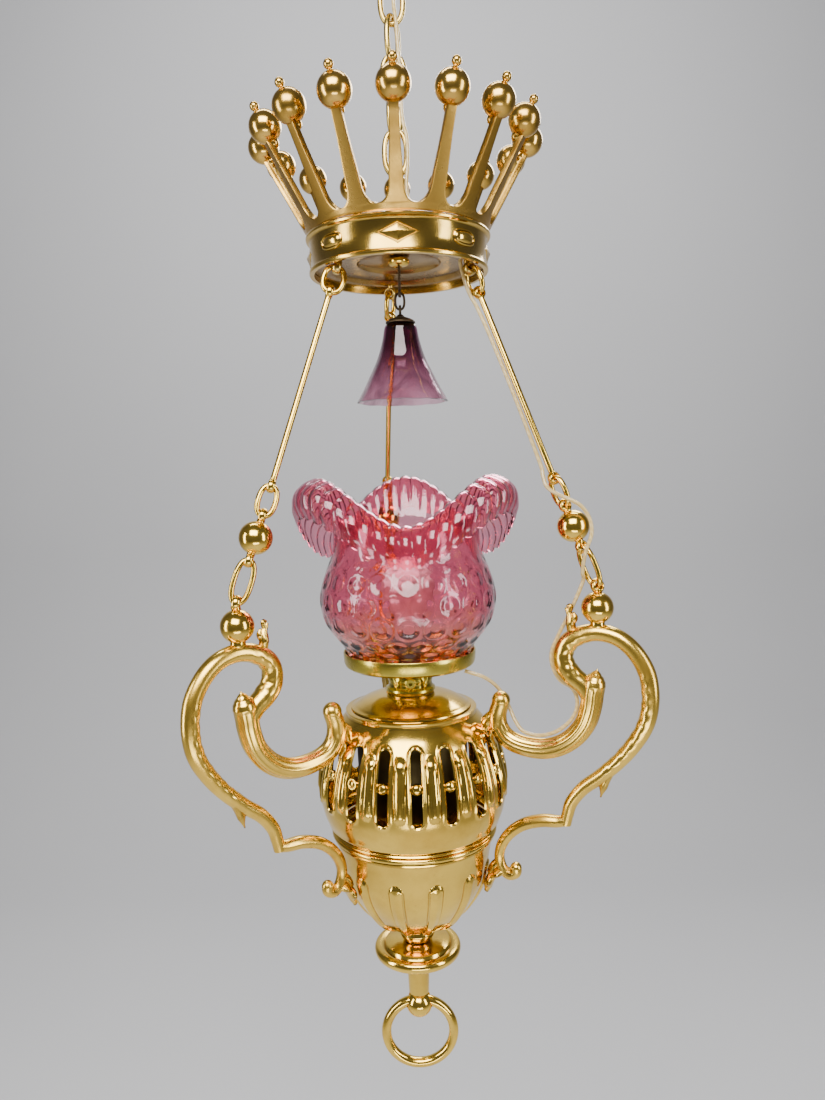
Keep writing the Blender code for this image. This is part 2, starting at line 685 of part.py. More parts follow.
def build_cord(flex):
    """The lamp flex in three stretches: down the chain, down a strand, and along its arm."""
    azimuth = ARM_AZIMUTHS[2]
    hole_x, hole_y = CORD_PLATE_HOLE
    chain_route = [
        (4.8, -4.8, -2), (4.8, -4.8, -20), (4.6, -4.6, -34), (1.6, -2.6, -46), (2.9, -4.7, -62),
        (3.6, -4.2, -75), (4.6, -4.8, -92), (5.2, -5, -108), (5.4, -5, -126), (6.4, -5, -138),
        (8.8, -4.6, -148), (9.4, -4.4, -160), (9.0, -5, -172), (7.8, -6, -184), (8.6, -7.5, -195),
        (13, -11, -206), (22, -14.5, -213), (34, -18.5, -220), (44, -22.6, -228.5),
        (hole_x, hole_y, -238), (hole_x, hole_y, -246)]
    tube("cord_chain", smooth_path(chain_route, 40), CORD_RADIUS, flex, fineness=2)
    strand_route = [(hole_x, hole_y, -246.6), (hole_x, hole_y, -252)]
    strand_route += [strand_point(azimuth, *spot) for spot in (
        (9, -4.5, -5.4), (20, -4.9, -5.0), (32, -4.4, -3.4), (60, -4.1, -2.4),
        (110, -4.1, -2.3), (160, -4.4, -3.4), (170, -4.6, -5.2), (179, -3.4, -7.2),
        (187, 2.6, -6.6), (194, 9.6, -4.6), (201, 14.2, -0.6), (208, 15.4, 2),
        (217, 15.4, 2.6), (226, 13.4, 0), (235, 8, -5.4), (244, 1, -6.4), (250, -3, -6.4))]
    tube("cord_strand", smooth_path(strand_route, 40), CORD_RADIUS, flex, fineness=2)
    begin = strand_point(azimuth, 250.7, -3.4, -6.4)
    arm_route = [begin, strand_point(azimuth, 256, -7.4, -4.4)]
    arm_route += [arm_point(azimuth, *spot) for spot in (
        (138, -512, 1), (131, -526, 7), (124, -540, 6), (119, -553, 3), (119.4, -564, 2.4),
        (125, -575.6, 3), (134.6, -582, 4), (138.6, -592, 3), (136, -603, 2), (129.6, -611, 1),
        (120, -617.6, 0), (108, -620.8, 0), (96, -619, 1), (88.6, -612, 4), (83, -603, 8),
        (77, -592, 9), (70.4, -583, 6), (62, -577, 3), (54, -574.4, 1), (48, -572.6, 0))]
    tube("cord_arm", smooth_path(arm_route, 30), CORD_RADIUS, flex, fineness=2)


def main():
    clear_scene()
    look = finishes()
    build_ceiling(look["chain"])
    build_chain(look["chain"])
    last_wire = FIRST_LINK_Z - LINK_PITCH * (LINK_COUNT - 1) - LINK_HALF_LENGTH
    crown_pivot = joint_empty("crown_pivot", (0, 0, last_wire))
    build_eye_bolt(look["chain"], crown_pivot)
    build_crown(look, crown_pivot)
    build_coronet(look["crown"], crown_pivot)
    build_smoke_bell(look, crown_pivot)
    lamp_pivot = joint_empty("lamp_pivot", (0, 0, CROWN_EYE_AT[1]))
    for index, azimuth in enumerate(ARM_AZIMUTHS):
        build_strand(index, azimuth, look["brass"])
        build_arm(index, azimuth, look["brass"], lamp_pivot)
    build_urn(look, lamp_pivot)
    build_burner(look, lamp_pivot)
    build_shade(look["glass"])
    build_cord(look["cord"])


main()
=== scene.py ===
"""Looks of the hanging sanctuary lamp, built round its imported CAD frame.

Sizes are in millimetres and MM turns them into metres. The frame's origin is the ceiling plate's top
face, +Z is up, and azimuths are in degrees, anticlockwise seen from above, with the front at -90.
"""
import math

import bmesh
import bpy
from mathutils import Matrix, Vector


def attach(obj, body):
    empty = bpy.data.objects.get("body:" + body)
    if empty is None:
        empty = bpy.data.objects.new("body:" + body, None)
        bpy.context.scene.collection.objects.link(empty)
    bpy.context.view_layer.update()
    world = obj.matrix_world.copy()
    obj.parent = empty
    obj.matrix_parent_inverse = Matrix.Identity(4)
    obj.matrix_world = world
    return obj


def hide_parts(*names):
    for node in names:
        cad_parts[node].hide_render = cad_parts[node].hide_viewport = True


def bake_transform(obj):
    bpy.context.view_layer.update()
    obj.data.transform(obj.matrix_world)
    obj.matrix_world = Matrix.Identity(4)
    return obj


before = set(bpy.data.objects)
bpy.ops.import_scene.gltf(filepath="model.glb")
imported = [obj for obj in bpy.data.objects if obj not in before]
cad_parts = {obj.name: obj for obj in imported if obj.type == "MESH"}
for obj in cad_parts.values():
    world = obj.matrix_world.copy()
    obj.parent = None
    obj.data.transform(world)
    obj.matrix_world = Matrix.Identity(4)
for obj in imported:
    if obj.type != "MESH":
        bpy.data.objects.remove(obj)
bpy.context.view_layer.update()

MM = 0.001
ARM_AZIMUTHS = (98.0, 218.0, 338.0)
FRONT = -90.0

LINK_WIRE = 4.4
LINK_HALF_WIDTH = 8.75
LINK_PITCH = 28.4
LINK_PLAY = 0.7
LINK_HALF_LENGTH = (LINK_PITCH + LINK_WIRE + LINK_PLAY) / 2
LINK_TURN = 61.0
FIRST_LINK_Z = -46.0
LINK_COUNT = 5

BAND_RADIUS = 70.0
JEWEL_Z = -239.0
TINE_COUNT = 16
TINE_BALL_RADIUS = 12.15
TINE_BALL_AT = (104.0, -153.0)
TINE_LEAN = math.radians(28.9)
TINE_THICKNESS = 4.5

CROWN_EYE_AT = (59.0, -255.0)
ARM_EYE_AT = (155.0, -500.0)
STRAND_WIRE = 4.2
STRAND_LINK_YAW = -30.0
ROD_TOP = 20.3
ROD_BOTTOM = 175.1
MID_BALL_EYE = 16.9
MID_BALL_AT = 214.5
BALL_RADIUS = 12.3
ARM_BALL_Z = -516.8

SLOT_COUNT = 18
SLOT_WIDTH = 8.3
SLOT_TOP = -622.0
SLOT_BOTTOM = -678.0
SLOT_TURN = 2.0
TONGUE_COUNT = 12
TONGUE_TOP = -733
STUD_Z = -649.0
SHADE_THROAT_Z = -473

PULL_BALL_Z = -868.4
PULL_BALL_RADIUS = 11.6
PULL_RING_RADIUS = 29.2
PULL_RING_WIRE = 8.4
PULL_RING_AXIS_Z = -865.2

BELL_PIVOT = -280.3
CORD_PLATE_HOLE = (47.9, -21.8)
CORD_RADIUS = 1.5


# Camera ---------------------------------------------------------------------------------------

def place_camera():
    """The camera hangs level with the rods' tops and looks a little down and across."""
    lens = bpy.data.cameras.new("camera")
    lens.sensor_width = 36.0
    lens.lens = 27.11
    camera = bpy.data.objects.new("camera", lens)
    bpy.context.scene.collection.objects.link(camera)
    pitch, yaw, roll = math.radians(5.24), 0.0034, 0.0274
    across = Vector((math.cos(yaw), -math.sin(yaw), 0))
    level = Vector((math.sin(yaw), math.cos(yaw), 0))
    forward = math.cos(pitch) * level - math.sin(pitch) * Vector((0, 0, 1))
    up = math.sin(pitch) * level + math.cos(pitch) * Vector((0, 0, 1))
    right = math.cos(roll) * across - math.sin(roll) * up
    top = math.sin(roll) * across + math.cos(roll) * up
    turn = Matrix((right, top, -forward)).transposed().to_4x4()
    camera.matrix_world = Matrix.Translation((0.0024, -0.680, -0.412)) @ turn
    bpy.context.scene.camera = camera


# Shapes ---------------------------------------------------------------------------------------

def polar(radius, azimuth, height):
    turn = math.radians(azimuth)
    return Vector((radius * math.cos(turn), radius * math.sin(turn), height))


def smooth_path(knots, count):
    """Points spaced evenly on a Catmull-Rom curve through the knots."""
    knots = [Vector(knot) for knot in knots]
    knots = [2 * knots[0] - knots[1]] + knots + [2 * knots[-1] - knots[-2]]
    fine = []
    for before, start, end, after in zip(knots, knots[1:], knots[2:], knots[3:]):
        for step in range(12):
            t = step / 12
            fine.append(0.5 * (2 * start + (end - before) * t
                               + (2 * before - 5 * start + 4 * end - after) * t ** 2
                               + (3 * start - before - 3 * end + after) * t ** 3))
    fine.append(knots[-2])
    lengths = [0.0]
    for start, end in zip(fine, fine[1:]):
        lengths.append(lengths[-1] + (end - start).length)
    path = []
    place = 0
    for index in range(count):
        wanted = lengths[-1] * index / (count - 1)
        while place < len(fine) - 2 and lengths[place + 1] < wanted:
            place += 1
        span = lengths[place + 1] - lengths[place]
        path.append(fine[place].lerp(fine[place + 1], (wanted - lengths[place]) / span))
    return path


def spread(values, share):
    """The value at a share of the way along a list, eased between its entries."""
    place = min(max(share, 0.0), 1.0) * (len(values) - 1)
    low = min(int(place), len(values) - 2)
    step = place - low
    step = step * step * (3 - 2 * step)
    return values[low] + (values[low + 1] - values[low]) * step


def ease(value, low, high):
    """0 below low, 1 above high, and smooth between them."""
    step = min(max((value - low) / (high - low), 0.0), 1.0)
    return step * step * (3 - 2 * step)


def placed(name, mesh):
    """A new object in the scene that holds the mesh."""
    thing = bpy.data.objects.new(name, mesh)
    bpy.context.scene.collection.objects.link(thing)
    return thing


def cleaned(thing, join_distance=0.0, fill_holes=False, turn_faces=True):
    """Joins close corners (distance in metres), fills holes and turns the faces outwards."""
    shape = bmesh.new()
    shape.from_mesh(thing.data)
    if join_distance:
        bmesh.ops.remove_doubles(shape, verts=shape.verts, dist=join_distance)
    if fill_holes:
        bmesh.ops.holes_fill(shape, edges=shape.edges)
    if turn_faces:
        bmesh.ops.recalc_face_normals(shape, faces=shape.faces)
    shape.to_mesh(thing.data)
    shape.free()
    return thing


def applied(thing):
    """The same object with its modifiers made part of its mesh."""
    name = thing.name
    graph = bpy.context.evaluated_depsgraph_get()
    mesh = bpy.data.meshes.new_from_object(thing.evaluated_get(graph))
    bpy.data.objects.remove(thing, do_unlink=True)
    return placed(name, mesh)


def add_mesh(name, points, faces, smooth_angle=40):
    mesh = bpy.data.meshes.new(name)
    mesh.from_pydata([Vector(point) * MM for point in points], [], faces)
    mesh.update()
    mesh.shade_smooth()
    mesh.set_sharp_from_angle(angle=math.radians(smooth_angle))
    return placed(name, mesh)


def grid_faces(columns, rows, wrap_columns, wrap_rows=False):
    """Faces of a grid whose points run down each column in turn."""
    faces = []
    for column in range(columns if wrap_columns else columns - 1):
        after = (column + 1) % columns
        for row in range(rows if wrap_rows else rows - 1):
            below = (row + 1) % rows
            faces.append((column * rows + row, column * rows + below,
                          after * rows + below, after * rows + row))
    return faces


def sweep(name, path, radius, sides=18, closed=False, side=None, section=None, ends=True):
    """A bar along a path. radius and section(turn, share) may change along it."""
    path = [Vector(point) for point in path]
    count = len(path)
    tangents = []
    for index in range(count):
        if closed:
            step = path[(index + 1) % count] - path[index - 1]
        else:
            step = path[min(index + 1, count - 1)] - path[max(index - 1, 0)]
        tangents.append(step.normalized())
    normal = Vector(side) if side else tangents[0].orthogonal()
    rings = []
    for index, (point, tangent) in enumerate(zip(path, tangents)):
        normal = (normal - normal.dot(tangent) * tangent).normalized()
        share = index / (count - 1)
        size = radius(share) if callable(radius) else radius
        rings.append((point, tangent, normal.copy(), size, share))
    if ends and not closed:
        caps = []
        for ring, way in ((rings[0], -1), (rings[-1], 1)):
            point, tangent, across, size, share = ring
            cap = []
            for step in range(1, 5):
                bend = math.radians(22.4 * step)
                cap.append((point + way * tangent * size * math.sin(bend), tangent, across,
                            size * math.cos(bend), share))
            caps.append(cap)
        rings = caps[0][::-1] + rings + caps[1]
    points = []
    for point, tangent, across, size, share in rings:
        other = tangent.cross(across)
        for step in range(sides):
            turn = 2 * math.pi * step / sides
            reach = size * (section(turn, share) if section else 1.0)
            points.append(point + reach * (math.cos(turn) * across + math.sin(turn) * other))
    faces = []
    total = len(rings)
    for ring in range(total if closed else total - 1):
        after = (ring + 1) % total
        for step in range(sides):
            beside = (step + 1) % sides
            faces.append((ring * sides + step, ring * sides + beside,
                          after * sides + beside, after * sides + step))
    if not closed:
        faces.append(tuple(range(sides))[::-1])
        faces.append(tuple(range((total - 1) * sides, total * sides)))
    return add_mesh(name, points, faces)


def turned(name, profile, columns=96, closed=True, smooth_angle=32):
    """Turn (radius, height) points about Z; the outer side runs downwards."""
    points = []
    for column in range(columns):
        azimuth = 360 * column / columns
        points += [polar(radius, azimuth, height) for radius, height in profile]
    faces = grid_faces(columns, len(profile), True, closed)
    return add_mesh(name, points, faces, smooth_angle)


def rounded(profile, count):
    """A smooth profile through a few (radius, height) points."""
    return [(p.x, p.y) for p in smooth_path([(r, z, 0) for r, z in profile], count)]


def ball(name, radius, centre, columns=40, rows=22):
    centre = Vector(centre)
    points = []
    for column in range(columns):
        for row in range(rows):
            fall = math.pi * (row + 0.02) / (rows - 0.96)
            points.append(centre + polar(radius * math.sin(fall), 360 * column / columns,
                                         radius * math.cos(fall)))
    return add_mesh(name, points, grid_faces(columns, rows, True), 60)


def merged(name, *things):
    """One mesh object in place of several."""
    shape = bmesh.new()
    for thing in things:
        bpy.context.view_layer.update()
        mesh = thing.data
        mesh.transform(thing.matrix_world)
        shape.from_mesh(mesh)
        bpy.data.objects.remove(thing, do_unlink=True)
    mesh = bpy.data.meshes.new(name)
    shape.to_mesh(mesh)
    shape.free()
    mesh.shade_smooth()
    mesh.set_sharp_from_angle(angle=math.radians(40))
    return placed(name, mesh)


def wall_mesh(name, outer, inner):
    """A closed wall from columns of outer and inner points that run round the axis."""
    points = []
    for outside, inside in zip(outer, inner):
        points += outside + inside[::-1]
    rows = 2 * len(outer[0])
    thing = add_mesh(name, points, grid_faces(len(outer), rows, True, True), 60)
    return cleaned(thing)


def oval(half_width, half_length, count, squareness=2.4):
    """A link's centre line in the XZ plane, fuller than an ellipse."""
    points = []
    for index in range(count):
        turn = 2 * math.pi * index / count
        across, along = math.cos(turn), math.sin(turn)
        points.append((half_width * math.copysign(abs(across) ** (2 / squareness), across), 0.0,
                       half_length * math.copysign(abs(along) ** (2 / squareness), along)))
    return smooth_loop(points, count)


def smooth_loop(points, count):
    """The same loop with its points spaced evenly."""
    path = smooth_path(points + [points[0]], count + 1)
    return path[:-1]


def ring_bead(name, outer, hole, half_thickness, place, columns=32, rows=14):
    """A rounded eye about the local X axis, moved to its place."""
    middle, half = (outer + hole) / 2, (outer - hole) / 2
    profile = []
    for index in range(rows):
        angle = -2 * math.pi * index / rows
        profile.append((middle + half * math.cos(angle), half_thickness * math.sin(angle)))
    ring = turned(name, profile, columns)
    ring.matrix_world = place @ Matrix.Rotation(math.radians(90), 4, "Y")
    return ring


def strand_place(azimuth, along):
    """A frame on a strand: X is the eye holes' axis and -Z runs down the strand."""
    start = polar(CROWN_EYE_AT[0], azimuth, CROWN_EYE_AT[1])
    end = polar(ARM_EYE_AT[0], azimuth, ARM_EYE_AT[1])
    down = (end - start).normalized()
    up = -down
    across = polar(1, azimuth + STRAND_LINK_YAW, 0)
    across = (across - across.dot(up) * up).normalized()
    turn = Matrix((across, up.cross(across), up)).transposed().to_4x4()
    return Matrix.Translation((start + down * along) * MM) @ turn


def strand_length():
    return math.dist(CROWN_EYE_AT, ARM_EYE_AT)


def strand_point(azimuth, along, across, behind):
    return strand_place(azimuth, along) @ (Vector((across, behind, 0)) * MM) / MM


def arm_point(azimuth, radius, height, aside=0.0):
    return polar(radius, azimuth, height) + aside * polar(1, azimuth + 90, 0)


def finish(thing, look, body, nodes=()):
    """Give a piece its material and its slot, let it ride a body, and hide what it stands for."""
    thing.data.materials.clear()
    thing.data.materials.append(look)
    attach(thing, body)
    if nodes:
        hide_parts(*nodes)
    return thing


# Materials ------------------------------------------------------------------------------------

def new_material(name):
    material = bpy.data.materials.new(name)
    material.use_nodes = True
    tree = material.node_tree
    return material, tree, tree.nodes["Principled BSDF"]


def add_node(tree, kind, **values):
    """A node with its named settings; keys with a leading capital are input sockets."""
    node = tree.nodes.new(kind)
    for key, value in values.items():
        if key[0].isupper():
            node.inputs[key.replace("_", " ")].default_value = value
        else:
            setattr(node, key, value)
    return node


def colour_ramp(tree, source, stops):
    ramp = tree.nodes.new("ShaderNodeValToRGB")
    ramp.color_ramp.elements[0].position = stops[0][0]
    ramp.color_ramp.elements[0].color = (*stops[0][1], 1)
    ramp.color_ramp.elements[1].position = stops[-1][0]
    ramp.color_ramp.elements[1].color = (*stops[-1][1], 1)
    for place, colour in stops[1:-1]:
        ramp.color_ramp.elements.new(place).color = (*colour, 1)
    tree.links.new(source, ramp.inputs["Fac"])
    return ramp.outputs["Color"]


def value_ramp(tree, source, low, high, start=0.0, end=1.0):
    node = add_node(tree, "ShaderNodeMapRange", From_Min=low, From_Max=high, To_Min=start,
                    To_Max=end)
    tree.links.new(source, node.inputs["Value"])
    return node.outputs["Result"]


def mix_colour(tree, factor, low, high, blend_type="MIX"):
    mix = tree.nodes.new("ShaderNodeMix")
    mix.data_type = "RGBA"
    mix.blend_type = blend_type
    for socket, value in ((mix.inputs[0], factor), (mix.inputs[6], low), (mix.inputs[7], high)):
        if isinstance(value, (float, int)):
            socket.default_value = value
        elif isinstance(value, tuple):
            socket.default_value = (*value, 1)
        else:
            tree.links.new(value, socket)
    return mix.outputs[2]


def aged_brass(name, colour, tarnish, roughness, spots=0.35, scale=1.0):
    """Polished metal with cloudy tarnish, small pits and hand-rubbed streaks; hollows are darkened as
    tarnish and as painted shade, and high places keep the bright colour.
    """
    material, tree, shader = new_material(name)
    where = tree.nodes.new("ShaderNodeTexCoord").outputs["Object"]
    clouds = add_node(tree, "ShaderNodeTexNoise", Scale=26 * scale, Detail=6.0, Roughness=0.62)
    specks = add_node(tree, "ShaderNodeTexNoise", Scale=310 * scale, Detail=4.0, Roughness=0.7)
    streaks = add_node(tree, "ShaderNodeTexNoise", Scale=900 * scale, Detail=2.0)
    for noise in (clouds, specks):
        tree.links.new(where, noise.inputs["Vector"])
    stretch = add_node(tree, "ShaderNodeMapping", Scale=(1.0, 1.0, 0.08))
    tree.links.new(where, stretch.inputs["Vector"])
    tree.links.new(stretch.outputs["Vector"], streaks.inputs["Vector"])
    # Pointiness darkens the hollows towards a near-black tarnish: partly tarnish gathered there, partly
    # painted shade.
    wear_and_shade = value_ramp(tree, tree.nodes.new("ShaderNodeNewGeometry").outputs["Pointiness"],
                      0.44, 0.56)
    cloud = value_ramp(tree, clouds.outputs["Fac"], 0.38, 0.68)
    tint = mix_colour(tree, cloud, colour, tarnish)
    dark = tuple(0.3 * value + 0.012 for value in tarnish)
    speck = value_ramp(tree, specks.outputs["Fac"], 0.62, 0.78, 0.0, spots)
    tint = mix_colour(tree, speck, tint, dark)
    low = value_ramp(tree, wear_and_shade, 0.0, 0.4, 0.8, 0.0)
    tint = mix_colour(tree, low, tint, dark)
    tree.links.new(tint, shader.inputs["Base Color"])
    gloss = value_ramp(tree, clouds.outputs["Fac"], 0.35, 0.7, roughness, roughness + 0.13)
    tree.links.new(gloss, shader.inputs["Roughness"])
    shader.inputs["Metallic"].default_value = 1.0
    bump = add_node(tree, "ShaderNodeBump", Strength=0.05, Distance=0.0004)
    tree.links.new(streaks.outputs["Fac"], bump.inputs["Height"])
    ripple = add_node(tree, "ShaderNodeBump", Strength=0.07, Distance=0.001)
    tree.links.new(clouds.outputs["Fac"], ripple.inputs["Height"])
    tree.links.new(bump.outputs["Normal"], ripple.inputs["Normal"])
    tree.links.new(ripple.outputs["Normal"], shader.inputs["Normal"])
    return material


def coloured_glass(name, body, low, roughness=0.035, streak=0.5, heights=(-0.575, -0.52)):
    """Clear coloured glass with drawn streaks, paler and more amber towards its low end."""
    material, tree, shader = new_material(name)
    where = tree.nodes.new("ShaderNodeTexCoord").outputs["Object"]
    split = tree.nodes.new("ShaderNodeSeparateXYZ")
    tree.links.new(where, split.inputs["Vector"])
    height = value_ramp(tree, split.outputs["Z"], heights[0], heights[1])
    swirl = add_node(tree, "ShaderNodeTexNoise", Scale=30.0, Detail=4.0, Distortion=1.4)
    tree.links.new(where, swirl.inputs["Vector"])
    tint = mix_colour(tree, height, low, body)
    shade = tuple(0.55 * value for value in body)
    band = value_ramp(tree, swirl.outputs["Fac"], 0.45, 0.72, 0.0, streak)
    tint = mix_colour(tree, band, tint, shade)
    tree.links.new(tint, shader.inputs["Base Color"])
    gloss = value_ramp(tree, swirl.outputs["Fac"], 0.3, 0.8, roughness, roughness * 2.2)
    tree.links.new(gloss, shader.inputs["Roughness"])
    shader.inputs["IOR"].default_value = 1.5
    shader.inputs["Transmission Weight"].default_value = 1.0
    bump = add_node(tree, "ShaderNodeBump", Strength=0.25, Distance=0.0012)
    tree.links.new(swirl.outputs["Fac"], bump.inputs["Height"])
    tree.links.new(bump.outputs["Normal"], shader.inputs["Normal"])
    return material


def flex_material():
    """Two twisted wires seen through a clear gold sheath."""
    material, tree, shader = new_material("gold_flex_sheath")
    where = tree.nodes.new("ShaderNodeTexCoord").outputs["Object"]
    twist = add_node(tree, "ShaderNodeTexWave", Scale=120.0, Distortion=2.0, Detail=2.0,
                     bands_direction="DIAGONAL")
    tree.links.new(where, twist.inputs["Vector"])
    tint = colour_ramp(tree, twist.outputs["Fac"], [
        (0.0, (0.6, 0.42, 0.14)), (0.45, (0.66, 0.48, 0.18)), (1.0, (0.72, 0.54, 0.23))])
    tree.links.new(tint, shader.inputs["Base Color"])
    shader.inputs["Roughness"].default_value = 0.28
    shader.inputs["Transmission Weight"].default_value = 0.25
    shader.inputs["Coat Weight"].default_value = 0.6
    bump = add_node(tree, "ShaderNodeBump", Strength=0.06, Distance=0.0003)
    tree.links.new(twist.outputs["Fac"], bump.inputs["Height"])
    tree.links.new(bump.outputs["Normal"], shader.inputs["Normal"])
    return material


def plain_material(name, colours, roughness, transmission=0.0, metallic=0.0, scale=60.0):
    """A quiet surface with a little mottling in its colour, gloss and relief."""
    material, tree, shader = new_material(name)
    where = tree.nodes.new("ShaderNodeTexCoord").outputs["Object"]
    mottle = add_node(tree, "ShaderNodeTexNoise", Scale=scale, Detail=5.0)
    tree.links.new(where, mottle.inputs["Vector"])
    tint = mix_colour(tree, mottle.outputs["Fac"], *colours)
    tree.links.new(tint, shader.inputs["Base Color"])
    gloss = value_ramp(tree, mottle.outputs["Fac"], 0.3, 0.7, roughness * 0.85, roughness * 1.2)
    tree.links.new(gloss, shader.inputs["Roughness"])
    shader.inputs["Transmission Weight"].default_value = transmission
    shader.inputs["Metallic"].default_value = metallic
    bump = add_node(tree, "ShaderNodeBump", Strength=0.1, Distance=0.0005)
    tree.links.new(mottle.outputs["Fac"], bump.inputs["Height"])
    tree.links.new(bump.outputs["Normal"], shader.inputs["Normal"])
    return material


def make_looks():
    gold, brown = (0.9, 0.6, 0.1), (0.66, 0.41, 0.06)
    return {
        "chain": aged_brass("aged_chain", (0.78, 0.55, 0.15), (0.5, 0.34, 0.08), 0.2),
        "crown": aged_brass("bronzed_crown", (0.56, 0.34, 0.07), (0.34, 0.19, 0.035), 0.25, 0.5),
        "band": aged_brass("crown_rings", (0.82, 0.54, 0.11), (0.54, 0.32, 0.05), 0.13, 0.4),
        "ball": aged_brass("crown_balls", (0.74, 0.46, 0.1), (0.45, 0.26, 0.045), 0.15, 0.4),
        # The crown's underside plate gets a darker copy of the crown's brass: painted shade.
        "under": aged_brass("crown_underside_painted_shade", (0.36, 0.22, 0.065), (0.2, 0.115, 0.03), 0.2, 0.5),
        # Near-black brass for the font tank inside the urn: painted shade of the urn's hollow.
        "inside": aged_brass("font_tank_painted_shade", (0.1, 0.075, 0.03), (0.05, 0.035, 0.015), 0.4, 0.5),
        "brass": aged_brass("polished_gold", gold, brown, 0.1),
        "arm": aged_brass("cast_gold", (0.88, 0.58, 0.1), (0.64, 0.39, 0.055), 0.19, 0.3),
        "gallery": aged_brass("green_gold", (0.66, 0.53, 0.08), (0.45, 0.34, 0.045), 0.2),
        "dark": aged_brass("sooted_wire", (0.12, 0.08, 0.045), (0.04, 0.03, 0.02), 0.45),
        "shade": coloured_glass("cranberry_shade", (0.95, 0.38, 0.5), (0.97, 0.55, 0.25),
                                streak=0.22),
        "bell": coloured_glass("cranberry_bell", (0.2, 0.03, 0.1), (0.94, 0.6, 0.72),
                               heights=(-0.354, -0.308)),
        "bulb": plain_material("pearl_glass", ((0.9, 0.86, 0.78), (0.8, 0.75, 0.66)), 0.35, 0.3),
        "holder": plain_material("holder_moulding", ((0.1, 0.09, 0.08), (0.05, 0.045, 0.04)), 0.45),
        "cord": flex_material(),
    }


# Cords ----------------------------------------------------------------------------------------

def chain_pivots():
    """Heights of the six hinges down the chain, and the bodies that they join."""
    top = FIRST_LINK_Z + LINK_HALF_LENGTH - LINK_WIRE / 2 - 2.5 - LINK_PLAY
    heights = [top]
    for index in range(LINK_COUNT):
        heights.append(FIRST_LINK_Z - LINK_PITCH * index - LINK_HALF_LENGTH)
    bodies = ["ceiling"] + [f"link_{index + 1}" for index in range(LINK_COUNT)] + ["crown"]
    return heights, bodies


def build_chain_cord(look):
    """The flex down the chain, in one stretch for each hinge, then down into the crown."""
    hole_x, hole_y = CORD_PLATE_HOLE
    route = [
        (4.8, -4.8, -2), (4.8, -4.8, -20), (4.6, -4.6, -34), (1.6, -2.6, -46), (2.9, -4.7, -62),
        (3.6, -4.2, -75), (4.6, -4.8, -92), (5.2, -5, -108), (5.4, -5, -126), (6.4, -5, -138),
        (8.8, -4.6, -148), (9.4, -4.4, -160), (9.0, -5, -172), (7.8, -6, -184), (8.6, -7.5, -195),
        (13, -11, -206), (22, -14.5, -213), (34, -18.5, -220), (44, -22.6, -228.5),
        (hole_x, hole_y, -238), (hole_x, hole_y, -246.6)]
    path = smooth_path(route, 170)
    heights, bodies = chain_pivots()
    cuts = [(above + below) / 2 for above, below in zip(heights, heights[1:])]
    stretches = [[] for _ in heights] + [[]]
    for point in path:
        stretches[sum(point.z < cut for cut in cuts)].append(point)
    crown_stretch = [point for point in stretches[len(cuts)] if point.z < heights[-1] - 14]
    stretches[len(cuts)] = [point for point in stretches[len(cuts)] if point.z >= heights[-1] - 14]
    for index, height in enumerate(heights):
        points = stretches[index]
        following = stretches[index + 1] if index + 1 < len(cuts) + 1 else crown_stretch
        if following:
            points = points + [following[0]]
        piece = sweep(f"chain_flex_{index + 1}", points, CORD_RADIUS, sides=14, ends=False)
        piece.data.materials.append(look)
        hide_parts("cord_chain")
        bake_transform(piece)
    piece = sweep("crown_flex", crown_stretch, CORD_RADIUS, sides=14, ends=False)
    finish(piece, look, "crown", ["cord_chain"])


def build_strand_cord(look):
    """The flex from the crown plate down the right strand."""
    azimuth = ARM_AZIMUTHS[2]
    hole_x, hole_y = CORD_PLATE_HOLE
    route = [(hole_x, hole_y, -246.6), (hole_x, hole_y, -252)]
    route += [strand_point(azimuth, *spot) for spot in (
        (9, -4.5, -5.4), (20, -4.9, -5.0), (32, -4.4, -3.4), (60, -4.1, -2.4),
        (110, -4.1, -2.3), (160, -4.4, -3.4), (170, -4.6, -5.2), (179, -3.4, -7.2),
        (187, 2.6, -6.6), (194, 9.6, -4.6), (201, 14.2, -0.6), (208, 15.4, 2),
        (217, 15.4, 2.6), (226, 13.4, 0), (235, 8, -5.4), (244, 1, -6.4), (250, -3, -6.4),
        (250.7, -3.4, -6.4))]
    piece = sweep("strand_flex", smooth_path(route, 200), CORD_RADIUS, sides=14, ends=False)
    piece.data.materials.append(look)
    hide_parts("cord_strand")
    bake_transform(piece)


def build_arm_cord(look):
    """The flex from the strand's foot, down behind the arm's scroll and into the gallery."""
    azimuth = ARM_AZIMUTHS[2]
    route = [strand_point(azimuth, 250.7, -3.4, -6.4), strand_point(azimuth, 256, -7.4, -4.4)]
    route += [arm_point(azimuth, *spot) for spot in (
        (138, -512, 1), (131, -526, 7), (124, -540, 6), (119, -553, 3), (119.4, -564, 2.4),
        (125, -575.6, 3), (134.6, -582, 4), (138.6, -592, 3), (136, -603, 2), (129.6, -611, 1),
        (120, -617.6, 0), (108, -620.8, 0), (96, -619, 1), (88.6, -612, 4), (83, -603, 8),
        (77, -592, 9), (70.4, -583, 6), (62, -577, 3), (54, -574.4, 1), (48, -572.6, 0))]
    piece = sweep("arm_flex", smooth_path(route, 200), CORD_RADIUS, sides=14, ends=False)
    finish(piece, look, "lamp", ["cord_arm"])


# Chain and crown ------------------------------------------------------------------------------

def link_wire(name, half_width, half_length, wire, place, count=56):
    thing = sweep(name, oval(half_width, half_length, count), wire / 2, sides=20, closed=True,
                  side=(0, 1, 0))
    thing.matrix_world = place
    return thing


